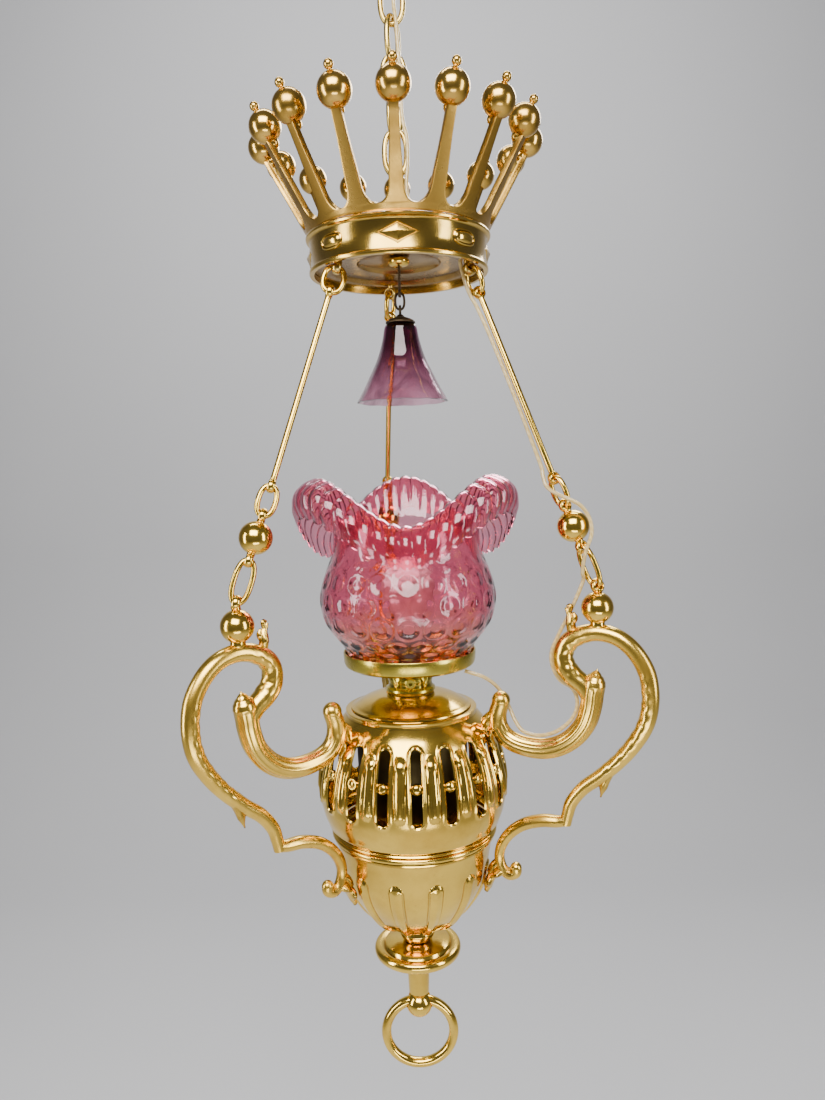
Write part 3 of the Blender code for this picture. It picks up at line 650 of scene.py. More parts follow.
def build_ceiling(looks):
    plate = turned("fine_ceiling_plate", [
        (3.2, 0), (31.4, 0), (32, -0.8), (32, -2.4), (31.2, -3.4), (29, -4.2), (28, -6), (24, -7),
        (18, -8), (14, -9.6), (11, -11), (3.2, -11)], 128)
    finish(plate, looks["chain"], "ceiling", ["ceiling_plate"])
    bend = 6.5
    bottom = FIRST_LINK_Z + LINK_HALF_LENGTH - LINK_WIRE / 2 - 2.5 - LINK_PLAY
    centre = bottom + bend
    path = [(0, 0, -6), (0, 0, -12), (0, 0, -16), (0, 3.2, -20)]
    for index in range(9):
        angle = math.pi * index / 8
        path.append((0, bend * math.cos(angle), centre - bend * math.sin(angle)))
    path.append((0, -bend - 0.3, centre + 4))
    hook = sweep("fine_ceiling_hook", smooth_path(path, 60), 2.5, sides=20, side=(1, 0, 0))
    finish(hook, looks["chain"], "ceiling", ["ceiling_hook"])


def build_chain(looks):
    for index in range(LINK_COUNT):
        middle = FIRST_LINK_Z - LINK_PITCH * index
        turn = math.radians(LINK_TURN if index % 2 else 0.0)
        place = Matrix.Translation((0, 0, middle * MM)) @ Matrix.Rotation(turn, 4, "Z")
        name = f"chain_link_{index + 1}"
        piece = link_wire(f"fine_{name}", LINK_HALF_WIDTH, LINK_HALF_LENGTH, LINK_WIRE, place)
        finish(piece, looks["chain"], f"link_{index + 1}", [name])


def build_eye_bolt(looks):
    last_wire = FIRST_LINK_Z - LINK_PITCH * (LINK_COUNT - 1) - LINK_HALF_LENGTH
    loop = 6.2
    centre = last_wire + LINK_WIRE + LINK_PLAY - loop
    circle = [(0, loop * math.sin(2 * math.pi * i / 48), centre + loop * math.cos(
        2 * math.pi * i / 48)) for i in range(48)]
    eye = sweep("eye", circle, LINK_WIRE / 2, closed=True, side=(1, 0, 0))
    shank = turned("shank", [(0.2, centre - loop - 0.6), (3.4, centre - loop - 1.4),
                             (3.4, centre - loop - 4), (2.25, centre - loop - 5.4), (2.25, -246),
                             (0.2, -246)], 32)
    bolt = merged("fine_eye_bolt", eye, shank)
    finish(bolt, looks["chain"], "crown", ["crown_eye_bolt"])


def lozenge(azimuth):
    """A raised lozenge with a fine edge moulding, cut to four facets."""
    spot = Matrix.Rotation(math.radians(azimuth), 4, "Z") @ Matrix.Translation(
        Vector((BAND_RADIUS - 0.9, 0, JEWEL_Z)) * MM)
    rings = [(16.4, 8.2, 0.0), (16.0, 7.9, 1.5), (14.8, 6.9, 1.9), (14.2, 6.5, 1.5), (0.4, 0.2, 4.2)]
    points = []
    for wide, tall, proud in rings:
        for across, rise in ((wide, 0), (0, tall), (-wide, 0), (0, -tall)):
            sag = across ** 2 / 2 / BAND_RADIUS
            points.append((proud - sag, across, rise))
    faces = []
    for ring in range(len(rings) - 1):
        for corner in range(4):
            after = (corner + 1) % 4
            faces.append((ring * 4 + corner, ring * 4 + after, ring * 4 + 4 + after,
                          ring * 4 + 4 + corner))
    faces.append((16, 17, 18, 19))
    gem = add_mesh("lozenge", points, faces, 20)
    gem.matrix_world = spot
    return gem


def cabochon(azimuth):
    """A domed oval in a raised collar."""
    spot = Matrix.Rotation(math.radians(azimuth), 4, "Z") @ Matrix.Translation(
        Vector((BAND_RADIUS - 0.9, 0, JEWEL_Z)) * MM)
    rings = [(1.0, 1.0, 0.0), (0.99, 0.98, 1.6), (0.93, 0.88, 2.1), (0.87, 0.78, 1.9),
             (0.84, 0.72, 1.2), (0.78, 0.64, 1.9), (0.6, 0.47, 2.8), (0.34, 0.27, 3.3),
             (0.02, 0.02, 3.5)]
    count = 40
    points = []
    for wide, tall, proud in rings:
        for step in range(count):
            turn = 2 * math.pi * step / count
            across = 11.5 * wide * math.copysign(abs(math.cos(turn)) ** 0.8, math.cos(turn))
            rise = 6.2 * tall * math.copysign(abs(math.sin(turn)) ** 0.8, math.sin(turn))
            points.append((proud - across ** 2 / 2 / BAND_RADIUS, across, rise))
    faces = []
    for ring in range(len(rings) - 1):
        for step in range(count):
            after = (step + 1) % count
            faces.append((ring * count + step, ring * count + after,
                          (ring + 1) * count + after, (ring + 1) * count + step))
    gem = add_mesh("cabochon", points, faces, 50)
    gem.matrix_world = spot
    return gem


def build_crown(looks):
    band = turned("band", [
        (67.5, -225), (71.6, -225), (72.9, -225.5), (73.4, -226.6), (72.9, -227.8), (71.4, -228.3),
        (70.6, -228.9), (70, -229.8), (70, -250), (70.5, -250.8), (71.3, -251.6), (71.3, -253),
        (70.6, -254), (67.5, -254), (67.2, -247), (67.2, -232)], 180)
    gems = [lozenge(FRONT + 45 * index) if index % 2 == 0 else cabochon(FRONT + 45 * index)
            for index in range(8)]
    band = merged("fine_crown_band", band, *gems)
    finish(band, looks["band"], "crown", ["crown_band"])
    dish = turned("fine_crown_plate", [
        (2.7, -237.7), (20, -238), (32, -239.4), (34, -241.2), (36, -242.8), (54, -243.6),
        (57, -246.6), (66.9, -247), (66.9, -249.2), (57, -249.2), (55.6, -248.4), (53, -245.8),
        (44, -245.2), (35.4, -245.0), (33.6, -244.6), (32.6, -243.4), (30, -241.6), (18, -240.6),
        (2.7, -240)], 128)
    # The plate takes the darker underside brass, which is painted shade.
    finish(dish, looks["under"], "crown", ["crown_plate"])
    nut = turned("fine_crown_nut", [
        (2.6, -240.7), (7, -240.9), (8.2, -241.5), (8.7, -243.2), (8.2, -244.9), (6.8, -246.2),
        (4.6, -246.8), (2.6, -247)], 48)
    finish(nut, looks["brass"], "crown", ["crown_nut"])
    for index, azimuth in enumerate(ARM_AZIMUTHS):
        name = f"crown_eye_{index + 1}"
        eye = ring_bead("eye", 5.5, 2.9, 2.9, strand_place(azimuth, 0.0))
        stem = sweep("stem", [strand_point(azimuth, -4.2, 0, 0), strand_point(azimuth, -6.4, 0, 0)],
                     2.2)
        eye = merged(f"fine_{name}", eye, stem)
        finish(eye, looks["chain"], "crown", [name])


def coronet_radius(height):
    return 70.0 + (height + 222.0) * math.tan(TINE_LEAN)


def half_gap(height):
    """Half the width of the opening between two tines, in millimetres, round at its foot."""
    foot = -219.0
    radius = coronet_radius(height)
    sector = 2 * math.pi * radius / TINE_COUNT
    rise = height - foot
    if rise <= 0:
        return 0.0
    width = 6.8 + 3.6 * (1 - ease(height, -208, -165)) ** 1.4
    open_half = (sector - width) / 2
    curl = 11.0
    if rise < curl:
        open_half *= math.sqrt(max(1 - (1 - rise / curl) ** 2, 0.0)) ** 0.9
    return open_half


def tine_point(azimuth, distance):
    """A point on a tine's leaning axis, so far above the middle of its ball."""
    return polar(TINE_BALL_AT[0] + distance * math.sin(TINE_LEAN), azimuth,
                 TINE_BALL_AT[1] + distance * math.cos(TINE_LEAN))


def build_coronet(looks):
    """A leaning wall cut into sixteen tines, each with a ball and a bead."""
    heights = [-223.6, -221.4, -219.0, -218.8, -218.3, -217.5, -216.4, -215, -213, -210.5, -208,
               -203, -196, -188, -178, -168, -160]
    shares = (0.0, 0.12, 0.5, 0.88, 1.0)
    points, faces = [], []
    for tine in range(TINE_COUNT):
        middle = FRONT + 360 * tine / TINE_COUNT
        first = len(points)
        for height in heights:
            radius = coronet_radius(height)
            half = math.degrees(math.pi / TINE_COUNT - half_gap(height) / radius)
            for share in shares:
                points.append(polar(radius, middle + half * (2 * share - 1), height))
        across = len(shares)
        for row in range(len(heights) - 1):
            for side in range(across - 1):
                corner = first + row * across + side
                faces.append((corner, corner + 1, corner + across + 1, corner + across))
    wall = add_mesh("wall", points, faces, 60)
    cleaned(wall, join_distance=0.00002, turn_faces=False)
    thick = wall.modifiers.new("thick", "SOLIDIFY")
    thick.thickness = TINE_THICKNESS * MM
    thick.offset = 0.0
    soft = wall.modifiers.new("soft", "BEVEL")
    soft.width = 0.7 * MM
    soft.segments = 2
    soft.angle_limit = math.radians(50)
    wall = applied(wall)
    coronet = merged("fine_coronet", wall)
    finish(coronet, looks["crown"], "crown", ["coronet"])
    pieces = []
    for tine in range(TINE_COUNT):
        azimuth = FRONT + 360 * tine / TINE_COUNT
        pieces.append(ball("tine_ball", TINE_BALL_RADIUS, tine_point(azimuth, 0)))
        pieces.append(ball("bead", 3.5, tine_point(azimuth, 15.4), 24, 14))
        pieces.append(sweep("neck", [tine_point(azimuth, 11.4), tine_point(azimuth, 13.0)], 2.0, 16))
        pieces.append(sweep("collar", [tine_point(azimuth, -12.6), tine_point(azimuth, -11.4)],
                            4.1, 20))
    balls = merged("coronet_balls", *pieces)
    finish(balls, looks["ball"], "crown", ["coronet"])


# Smoke bell -----------------------------------------------------------------------------------

def build_smoke_bell(looks):
    path = [(0, 0, -246.4), (0, 0, -254), (0, 0, -261)]
    loop, middle = 3.6, -266.6
    path += [(0, loop * math.sin(math.radians(25 + 29 * i)),
              middle + loop * math.cos(math.radians(25 + 29 * i))) for i in range(10)]
    path = smooth_path(path, 90)

    def twist(phase):
        turned_path = []
        for index, point in enumerate(path):
            angle = 0.5 * index + phase
            turned_path.append(point + 0.62 * Vector((math.cos(angle), math.sin(angle), 0)))
        return sweep("strand", turned_path, 0.7, 10)

    hook = merged("fine_bell_hook", twist(0.0), twist(math.pi))
    finish(hook, looks["dark"], "crown", ["bell_hook"])
    hanger = link_wire("fine_bell_link", 3.6, 6.4, 2.0, Matrix.Translation((0, 0, -0.2739)), 40)
    finish(hanger, looks["dark"], "bell_hanger", ["bell_link"])

    cap = turned("cap", rounded([(0.2, -284), (2, -284.4), (4, -286.2), (8.8, -288),
                                 (11.4, -289.6), (12, -291), (10.4, -291.5), (0.2, -291.5)], 30), 64)
    eye = ring_bead("cap_eye", 4.0, 1.9, 1.1, Matrix.Translation((0, 0, (BELL_PIVOT - 0.4) * MM)))
    cap = merged("fine_bell_cap", cap, eye)
    finish(cap, looks["dark"], "bell", ["bell_cap"])

    knots = [(10.4, -291.8), (12.6, -293.4), (13.6, -297), (14.8, -304), (17, -312.5), (20.3, -321.5),
             (25.4, -332), (30.6, -342.4), (36.8, -353.4)]
    profile = rounded(knots, 60)
    flute_count = 10
    outer, inner = [], []
    for column in range(flute_count * 12):
        azimuth = 360 * column / (flute_count * 12)
        wave = abs(math.cos(math.radians(azimuth) * flute_count / 2))
        outer_column, inner_column = [], []
        for index, (radius, height) in enumerate(profile):
            share = index / (len(profile) - 1)
            bulge = 0.45 * (wave - 0.6) * ease(share, 0.05, 0.4)
            drop = -0.4 * wave * ease(share, 0.9, 1.0)
            outer_column.append(polar(radius + bulge, azimuth, height + drop))
            inner_column.append(polar(radius + bulge - 1.9, azimuth, height + drop - 0.3))
        outer.append(outer_column)
        inner.append(inner_column)
    bell = wall_mesh("bell_wall", outer, inner)
    lid = turned("bell_top", [(0.2, -291.8), (10.4, -291.8), (11.6, -293.6), (0.2, -293.8)], 64)
    bell = merged("fine_smoke_bell", bell, lid)
    finish(bell, looks["bell"], "bell", ["smoke_bell"])


# Strands and arms -----------------------------------------------------------------------------

def strand_link(name, start, end, half_width, azimuth):
    return link_wire(name, half_width, (end - start) / 2, STRAND_WIRE,
                     strand_place(azimuth, (start + end) / 2), 48)


def build_strand(looks, number, azimuth):
    body = f"strand_{number}"
    look = looks["brass"]
    spans = {"top_link": (0, ROD_TOP, 7.6), "mid_link": (ROD_BOTTOM, MID_BALL_AT - MID_BALL_EYE, 6.3),
             "low_link": (MID_BALL_AT + MID_BALL_EYE, strand_length(), 6.3)}
    for kind, (start, end, half_width) in spans.items():
        node = f"{kind}_{number}"
        finish(strand_link(f"fine_{node}", start, end, half_width, azimuth), look, body, [node])
    eyes = [ring_bead("rod_eye", 5.3, 2.9, 2.6, strand_place(azimuth, along))
            for along in (ROD_TOP, ROD_BOTTOM)]
    bar = sweep("bar", [strand_point(azimuth, along, 0, 0)
                        for along in (ROD_TOP + 4.2, ROD_TOP + 8, ROD_BOTTOM - 8, ROD_BOTTOM - 4.2)],
                lambda share: 2.35, 20)
    rod = merged(f"fine_hanger_rod_{number}", bar, *eyes)
    finish(rod, look, body, [f"hanger_rod_{number}"])
    centre = strand_point(azimuth, MID_BALL_AT, 0, 0)
    pieces = [ball("ball", BALL_RADIUS, centre, 48, 26)]
    for side in (-1, 1):
        pieces.append(ring_bead("ball_eye", 5.5, 2.9, 2.6,
                                strand_place(azimuth, MID_BALL_AT + side * MID_BALL_EYE)))
        pieces.append(sweep("collar", [strand_point(azimuth, MID_BALL_AT + side * 11.4, 0, 0),
                                       strand_point(azimuth, MID_BALL_AT + side * 12.9, 0, 0)], 3.0))
    middle = merged(f"fine_mid_ball_{number}", *pieces)
    finish(middle, looks["brass"], body, [f"mid_ball_{number}"])


def flutes(count, depth, start=0.0, end=1.0):
    """A section with rounded flutes over part of a bar's length."""
    def section(turn, share):
        fade = ease(share, start, start + 0.05) * (1 - ease(share, end - 0.02, end))
        return 1.0 - depth * fade * (1 - abs(math.cos(turn * count / 2)))
    return section


def acanthus(turn, share):
    """Overlapping leaves and veins on the inner and front sides of the outer scroll."""
    around = 0.5 + 0.5 * math.cos(turn + math.pi * 0.5)
    inside = ease(around, 0.3, 0.62)
    region = ease(share, 0.42, 0.47) * (1 - ease(share, 0.78, 0.81))
    volute = ease(share, 0.05, 0.09) * (1 - ease(share, 0.22, 0.27))
    vein = abs(math.sin(share * 58 + 1.7 * abs(turn + math.pi * 0.5)))
    leaf = 0.05 * vein ** 0.6 + 0.02 * math.sin(share * 190 - 3.0 * turn)
    return 1.0 + (region + volute) * inside * leaf


def leaf_blade(name, path, widths, thickness, azimuth, lobes=0):
    """A tapering leaf that lies across an arm's plane, with a raised rib and optional lobes."""
    path = smooth_path(path, 26)
    aside = polar(1, azimuth + 90, 0)
    points, count = [], 16
    for index, point in enumerate(path):
        share = index / (len(path) - 1)
        before, after = path[max(index - 1, 0)], path[min(index + 1, len(path) - 1)]
        tangent = (after - before).normalized()
        normal = aside.cross(tangent)
        width = spread(widths, share)
        if lobes:
            width *= 1 + 0.22 * math.cos(2 * math.pi * lobes * share)
        for step in range(count):
            turn = 2 * math.pi * step / count
            rib = 1 + 0.5 * max(0.0, math.sin(turn)) ** 6
            points.append(point + width * math.cos(turn) * aside
                          + min(thickness, width) * rib * math.sin(turn) * normal)
    faces = []
    for ring in range(len(path) - 1):
        for step in range(count):
            after = (step + 1) % count
            faces.append((ring * count + step, ring * count + after,
                          (ring + 1) * count + after, (ring + 1) * count + step))
    faces.append(tuple(range(count))[::-1])
    faces.append(tuple(range((len(path) - 1) * count, len(path) * count)))
    return add_mesh(name, points, faces, 45)


def build_arm(looks, number, azimuth):
    """One casting: outer scroll, inner S-scroll, lower bracket, bud, thorn leaf and its pads."""
    aside = polar(1, azimuth + 90, 0)

    def flat(*spots):
        return [arm_point(azimuth, *spot) for spot in spots]

    outer = sweep("outer_scroll", smooth_path(flat(
        (149, -585), (143.4, -577.4), (136, -571.4), (129.8, -563.4), (128.6, -553.6),
        (132.6, -544.8), (142, -538.6),
        (155.6, -536), (170, -539.4), (182, -549), (191, -564), (194, -580), (193, -596),
        (188.4, -610), (179, -625), (168, -638), (155, -650), (143, -660), (134, -672),
        (130.8, -682), (128.8, -690.5)), 240),
        lambda share: 6.6 * spread((1.15, 1.26, 1.14, 1.04, 1.0, 1.0, 0.99, 0.97, 0.92, 0.87, 0.84,
                                    0.78, 0.7), share),
        48, side=aside, section=acanthus, ends=False)
    inner_path = smooth_path(flat(
        (78, -596), (75, -606), (76, -616), (82.4, -625), (94, -630), (110, -631.4), (124, -628),
        (136, -620), (145, -608), (149.4, -594), (150.8, -583), (152.6, -574), (154.6, -565)), 160)
    collar = 0.92

    def inner_radius(share):
        size = 8.2 * spread((0.86, 0.92, 0.96, 1.0, 1.0, 1.02, 1.06, 1.1), min(share / collar, 1))
        if share > collar:
            size = 8.2 * spread((1.1, 1.02, 0.8, 0.45, 0.08), (share - collar) / (1 - collar))
        return size

    inner = sweep("inner_scroll", inner_path, inner_radius, 40, side=aside,
                  section=flutes(9, 0.13, 0.1, collar))
    bracket = sweep("lower_bracket", smooth_path(flat(
        (129, -688), (122, -689.4), (110, -690.4), (96, -695), (85, -703), (77.6, -713),
        (74.4, -724), (76.4, -734), (82, -739.6), (87.6, -737.4), (88.2, -733)), 110),
        lambda share: 5.3 * spread((0.86, 0.98, 0.97, 0.93, 0.88, 0.8, 0.82, 0.88), share),
        28, side=aside, section=flutes(6, 0.06, 0.02, 0.8))
    pieces = [outer, inner, bracket]
    pieces.append(ball("knob", 7.4, arm_point(azimuth, 78, -594.4), 36, 20))
    pieces.append(ball("curl", 4.7, arm_point(azimuth, 88, -733.4), 30, 16))
    pieces.append(sweep("shoulder_curl", smooth_path(flat((77, -606), (71.5, -608.6), (66.6, -612.6),
                                                          (64.4, -619)), 24),
                        lambda share: 5.4 * spread((0.9, 1.06, 1.0, 0.72), share), 28, side=aside))
    pieces.append(leaf_blade("shoulder_tongue", flat((73, -617), (69.5, -624), (71.6, -634)),
                             (4.4, 4.6, 1.6), 2.0, azimuth))
    pieces.append(leaf_blade("foot_leaf", flat((84, -738), (76, -738), (68, -744), (62.8, -757)),
                             (4.0, 6.8, 6.4, 1.2), 3.0, azimuth, 3))
    pieces.append(leaf_blade("foot_heel", flat((75, -729), (70, -734), (66.6, -741)),
                             (3.6, 4.4, 2.2), 2.6, azimuth))
    pieces.append(leaf_blade("bud", flat((135.6, -541), (134, -531), (133.6, -524), (130.8, -517.6)),
                             (3.8, 4.0, 3.0, 0.8), 3.0, azimuth, 2))
    pieces.append(leaf_blade("bud_lobe", flat((134, -530), (137.4, -526), (136.6, -521)),
                             (2.2, 2.2, 0.8), 1.8, azimuth))
    pieces.append(leaf_blade("bud_hook", flat((133.4, -521), (134.2, -516.6), (131.4, -516.4)),
                             (1.8, 1.7, 0.6), 1.5, azimuth))
    pieces.append(leaf_blade("thorn", flat((171, -634), (165.6, -643), (160.6, -653), (156.6, -665.5)),
                             (5.0, 4.6, 3.2, 0.5), 2.8, azimuth))
    arm = merged(f"fine_scroll_arm_{number}", *pieces)
    finish(arm, looks["arm"], "lamp", [f"scroll_arm_{number}"])

    centre = arm_point(azimuth, ARM_EYE_AT[0], ARM_BALL_Z)
    top_ball = ball("ball", BALL_RADIUS, centre, 48, 26)
    eye = ring_bead("arm_eye", 5.9, 3.3, 2.7, strand_place(azimuth, strand_length()))
    neck = sweep("neck", [centre + Vector((0, 0, 11.6)), centre + Vector((0, 0, 13.2))], 3.2)
    seat = sweep("seat", [centre - Vector((0, 0, 13.6)), centre - Vector((0, 0, 11.2))], 5.6)
    top_ball = merged(f"fine_arm_ball_{number}", top_ball, eye, neck, seat)
    finish(top_ball, looks["brass"], "lamp", [f"arm_ball_{number}"])


# Urn ------------------------------------------------------------------------------------------

URN_OUTLINE = [(54.3, -609), (60, -615), (66, -624), (71, -635), (75, -648), (77.4, -660),
               (78.2, -670), (77.4, -682), (75, -692.4), (71.6, -700)]


def urn_radius(height):
    for (high_r, high_z), (low_r, low_z) in zip(URN_OUTLINE, URN_OUTLINE[1:]):
        if height >= low_z:
            share = (high_z - height) / (high_z - low_z)
            return high_r + (low_r - high_r) * share
    return URN_OUTLINE[-1][0]


def smooth_urn_radius(height):
    return sum(urn_radius(height + shift) for shift in (-3, -1.5, 0, 1.5, 3)) / 5


def capsule_distance(across, height, top, bottom, radius):
    reach = max(abs(height - (top + bottom) / 2) - ((top - bottom) / 2 - radius), 0.0)
    return math.hypot(across, reach) - radius


def urn_relief(from_slot, from_rib, height):
    """How proud the wall stands, from its distances across to the slot's and the rib's middle."""
    slot = capsule_distance(from_slot, height, SLOT_TOP, SLOT_BOTTOM, SLOT_WIDTH / 2)
    relief = 1.15 * math.exp(-((slot - 1.3) / 0.95) ** 2)
    rib = capsule_distance(from_rib, height, -626, -675, 4.9)
    if rib < 0:
        relief = 1.1 * ease(-rib, 0.0, 0.9) + 1.2 * ease(-rib, 0.9, 4.9)
        relief -= 0.3 * math.exp(-((from_rib - 3.3) / 0.5) ** 2) * ease(-rib, 0.9, 1.6)
    knob = math.hypot(from_rib, height + 632.5)
    if knob < 4.4:
        relief = max(relief, 1.0 + math.sqrt(4.4 ** 2 - knob ** 2) * 0.45)
    return relief


def build_urn_upper(looks):
    ends = (0.0, 0.12, 0.45, 1.0, 1.8, 2.9, 4.15)
    heights = {-605.0, -606.0, -608.2}
    heights.update(-609.0 - 1.15 * step for step in range(80))
    heights = {z for z in heights if not (SLOT_TOP - 4.3 < z < SLOT_TOP + 0.4)
               and not (SLOT_BOTTOM - 0.4 < z < SLOT_BOTTOM + 4.3)}
    for end in ends:
        heights.update((SLOT_TOP - end, SLOT_BOTTOM + end))
    heights = sorted(heights, reverse=True)
    half_slot = SLOT_WIDTH / 2
    sector = 360 / SLOT_COUNT
    shares = [step / 15 for step in range(16)]
    points, faces = [], []
    for slot in range(SLOT_COUNT):
        middle = FRONT + SLOT_TURN + sector * slot
        for side in (-1, 1):
            first = len(points)
            for height in heights:
                radius = smooth_urn_radius(height) if height < -608.5 else 54.3
                depth = min(SLOT_TOP - height, height - SLOT_BOTTOM)
                half = 0.0
                if depth > 0:
                    half = half_slot if depth > half_slot else math.sqrt(
                        max(half_slot ** 2 - (half_slot - depth) ** 2, 0.0))
                start = math.degrees(half / radius)
                for share in shares:
                    offset = start + share * (sector / 2 - start)
                    across = math.radians(offset) * radius
                    beside = math.radians(sector / 2 - offset) * radius
                    proud = urn_relief(across, beside, height) if height < -612 else 0.0
                    points.append(polar(radius + proud, middle + side * offset, height))
            width = len(shares)
            for row in range(len(heights) - 1):
                for step in range(width - 1):
                    corner = first + row * width + step
                    face = (corner, corner + 1, corner + width + 1, corner + width)
                    faces.append(face if side < 0 else face[::-1])
    wall = add_mesh("wall", points, faces, 45)
    cleaned(wall, join_distance=0.00003)
    thick = wall.modifiers.new("thick", "SOLIDIFY")
    thick.thickness = 1.8 * MM
    thick.offset = -1.0
    wall = applied(wall)
    rim = turned("rim", [(49, -605), (49.6, -604.7), (53.4, -604.7), (54.6, -605.4), (54.6, -607.4),
                         (53.8, -608.4), (50, -608.4), (49, -607)], 128)
    skirt = turned("skirt", rounded([(71.6, -699.6), (70.2, -702), (68.4, -703.6)], 8) + [
        (69.4, -704.2), (69.9, -705.2), (69.2, -706.2), (66.4, -706.2), (66.4, -703),
        (69.6, -699.6)], 128)
    pieces = [wall, rim, skirt]
    for slot in range(SLOT_COUNT):
        azimuth = FRONT + SLOT_TURN + sector * slot
        radius = smooth_urn_radius(STUD_Z)
        stud = turned("stud", [(0.1, 1.5), (1.8, 1.4), (2.8, 1.0), (3.1, 0.7), (3.4, 1.2),
                               (4.0, 1.2), (4.4, 0.5), (4.4, -1.9), (0.1, -1.9)], 28)
        stud.matrix_world = (Matrix.Translation(polar(radius + 0.4, azimuth, STUD_Z) * MM)
                             @ Matrix.Rotation(math.radians(azimuth), 4, "Z")
                             @ Matrix.Rotation(math.radians(80), 4, "Y"))
        pieces.append(stud)
    upper = merged("fine_urn_upper", *pieces)
    finish(upper, looks["brass"], "lamp", ["urn_upper"])


def build_urn_lower(looks):
    """The bowl: a belt of mouldings, twelve raised tongues, and a knop at its foot."""
    knots = [(65.8, -715.2), (64.4, -722), (62.4, -734), (59.6, -748), (55.4, -758.6), (49, -769.6),
             (41, -780), (31, -788.6), (22, -794), (16.6, -796.6)]
    profile = [(66.4, -707.2), (68, -707.2), (69.2, -708.2), (69.5, -709.6), (69, -711),
               (67.4, -711.6), (67, -712.2), (67.6, -712.8), (67.6, -713.8), (66.6, -714.6)]
    profile += rounded(knots, 104)
    profile += rounded([(13.4, -798.2), (14.7, -801), (14.8, -803.4), (13.4, -806.8), (11.4, -808.8)],
                       16)
    pitch = 360 / TONGUE_COUNT
    outer, inner = [], []
    columns = TONGUE_COUNT * 46
    for column in range(columns):
        azimuth = 360 * column / columns
        offset = abs((azimuth - FRONT) % pitch - pitch / 2)
        outer_column, inner_column = [], []
        for radius, height in profile:
            across = math.radians(offset) * radius
            half = math.radians(0.175 * pitch) * radius
            cap = half - math.sqrt(max(half ** 2 - across ** 2, 0.0))
            inside = min(TONGUE_TOP - cap - height, half - across)
            proud = 0.0
            if -796 < height < -730:
                proud = 1.5 * ease(inside, 0.0, 0.7) + 1.0 * ease(inside, 0.7, half)
                proud -= 0.45 * math.exp(-((inside + 0.7) / 0.6) ** 2)
                proud *= 1 - ease(-height, 786, 796)
            outer_column.append(polar(radius + proud * 0.8, azimuth, height - proud * 0.5))
            inner_column.append(polar(max(radius - 2.4, 3.0), azimuth, height + 0.6))
        outer.append(outer_column)
        inner.append(inner_column)
    bowl = wall_mesh("bowl", outer, inner)
    bowl = merged("fine_urn_lower", bowl)
    finish(bowl, looks["brass"], "lamp", ["urn_lower"])


def build_foot(looks):
    disc = turned("fine_base_disc", [(0.2, -809.6), (26, -810.2), (27.6, -811), (28.4, -812.6),
                                     (29, -813.4)]
                  + rounded([(32.4, -812.4), (35.6, -813.2), (37.0, -816.2), (36.0, -820),
                             (33, -821.4)], 18)
                  + [(28, -819.6), (13, -820.6), (11.2, -821.4), (10.4, -823), (10.0, -828),
                     (9.4, -840), (8.9, -852), (8.7, -857.4), (0.2, -857.4)], 128)
    finish(disc, looks["brass"], "lamp", ["base_disc"])

    finial = ball("finial", PULL_BALL_RADIUS, (0, 0, PULL_BALL_Z), 64, 34)
    bore = [(PULL_RING_WIRE / 2 + 0.35 + along ** 2 / 2 / PULL_RING_RADIUS, along)
            for along in (13, 9, 6, 3, 0, -3, -6, -9, -13)]
    cutter = turned("cutter", [(0.01, 13)] + bore + [(0.01, -13)], 40)
    cutter.matrix_world = Matrix.Translation((0, 0, PULL_RING_AXIS_Z * MM)) @ Matrix.Rotation(
        math.radians(90), 4, "Y")
    bpy.context.view_layer.update()
    cleaned(cutter, join_distance=0.00005)
    cleaned(finial, join_distance=0.0005, fill_holes=True)
    step = finial.modifiers.new("bore", "BOOLEAN")
    step.operation = "DIFFERENCE"
    step.object = cutter
    step.solver = "EXACT"
    finial = applied(finial)
    bpy.data.objects.remove(cutter, do_unlink=True)
    finial = merged("fine_finial_ball", finial)
    finish(finial, looks["brass"], "lamp", ["finial_ball"])

    centre = PULL_RING_AXIS_Z - PULL_RING_RADIUS
    circle = []
    for index in range(110):
        turn = 2 * math.pi * index / 110
        circle.append((PULL_RING_RADIUS * math.sin(turn), 0.0,
                       centre + PULL_RING_RADIUS * math.cos(turn)))
    ring = sweep("fine_pull_ring", circle, PULL_RING_WIRE / 2, 26, closed=True, side=(0, 1, 0))
    finish(ring, looks["brass"], "ring", ["pull_ring"])


# Burner and shade -----------------------------------------------------------------------------

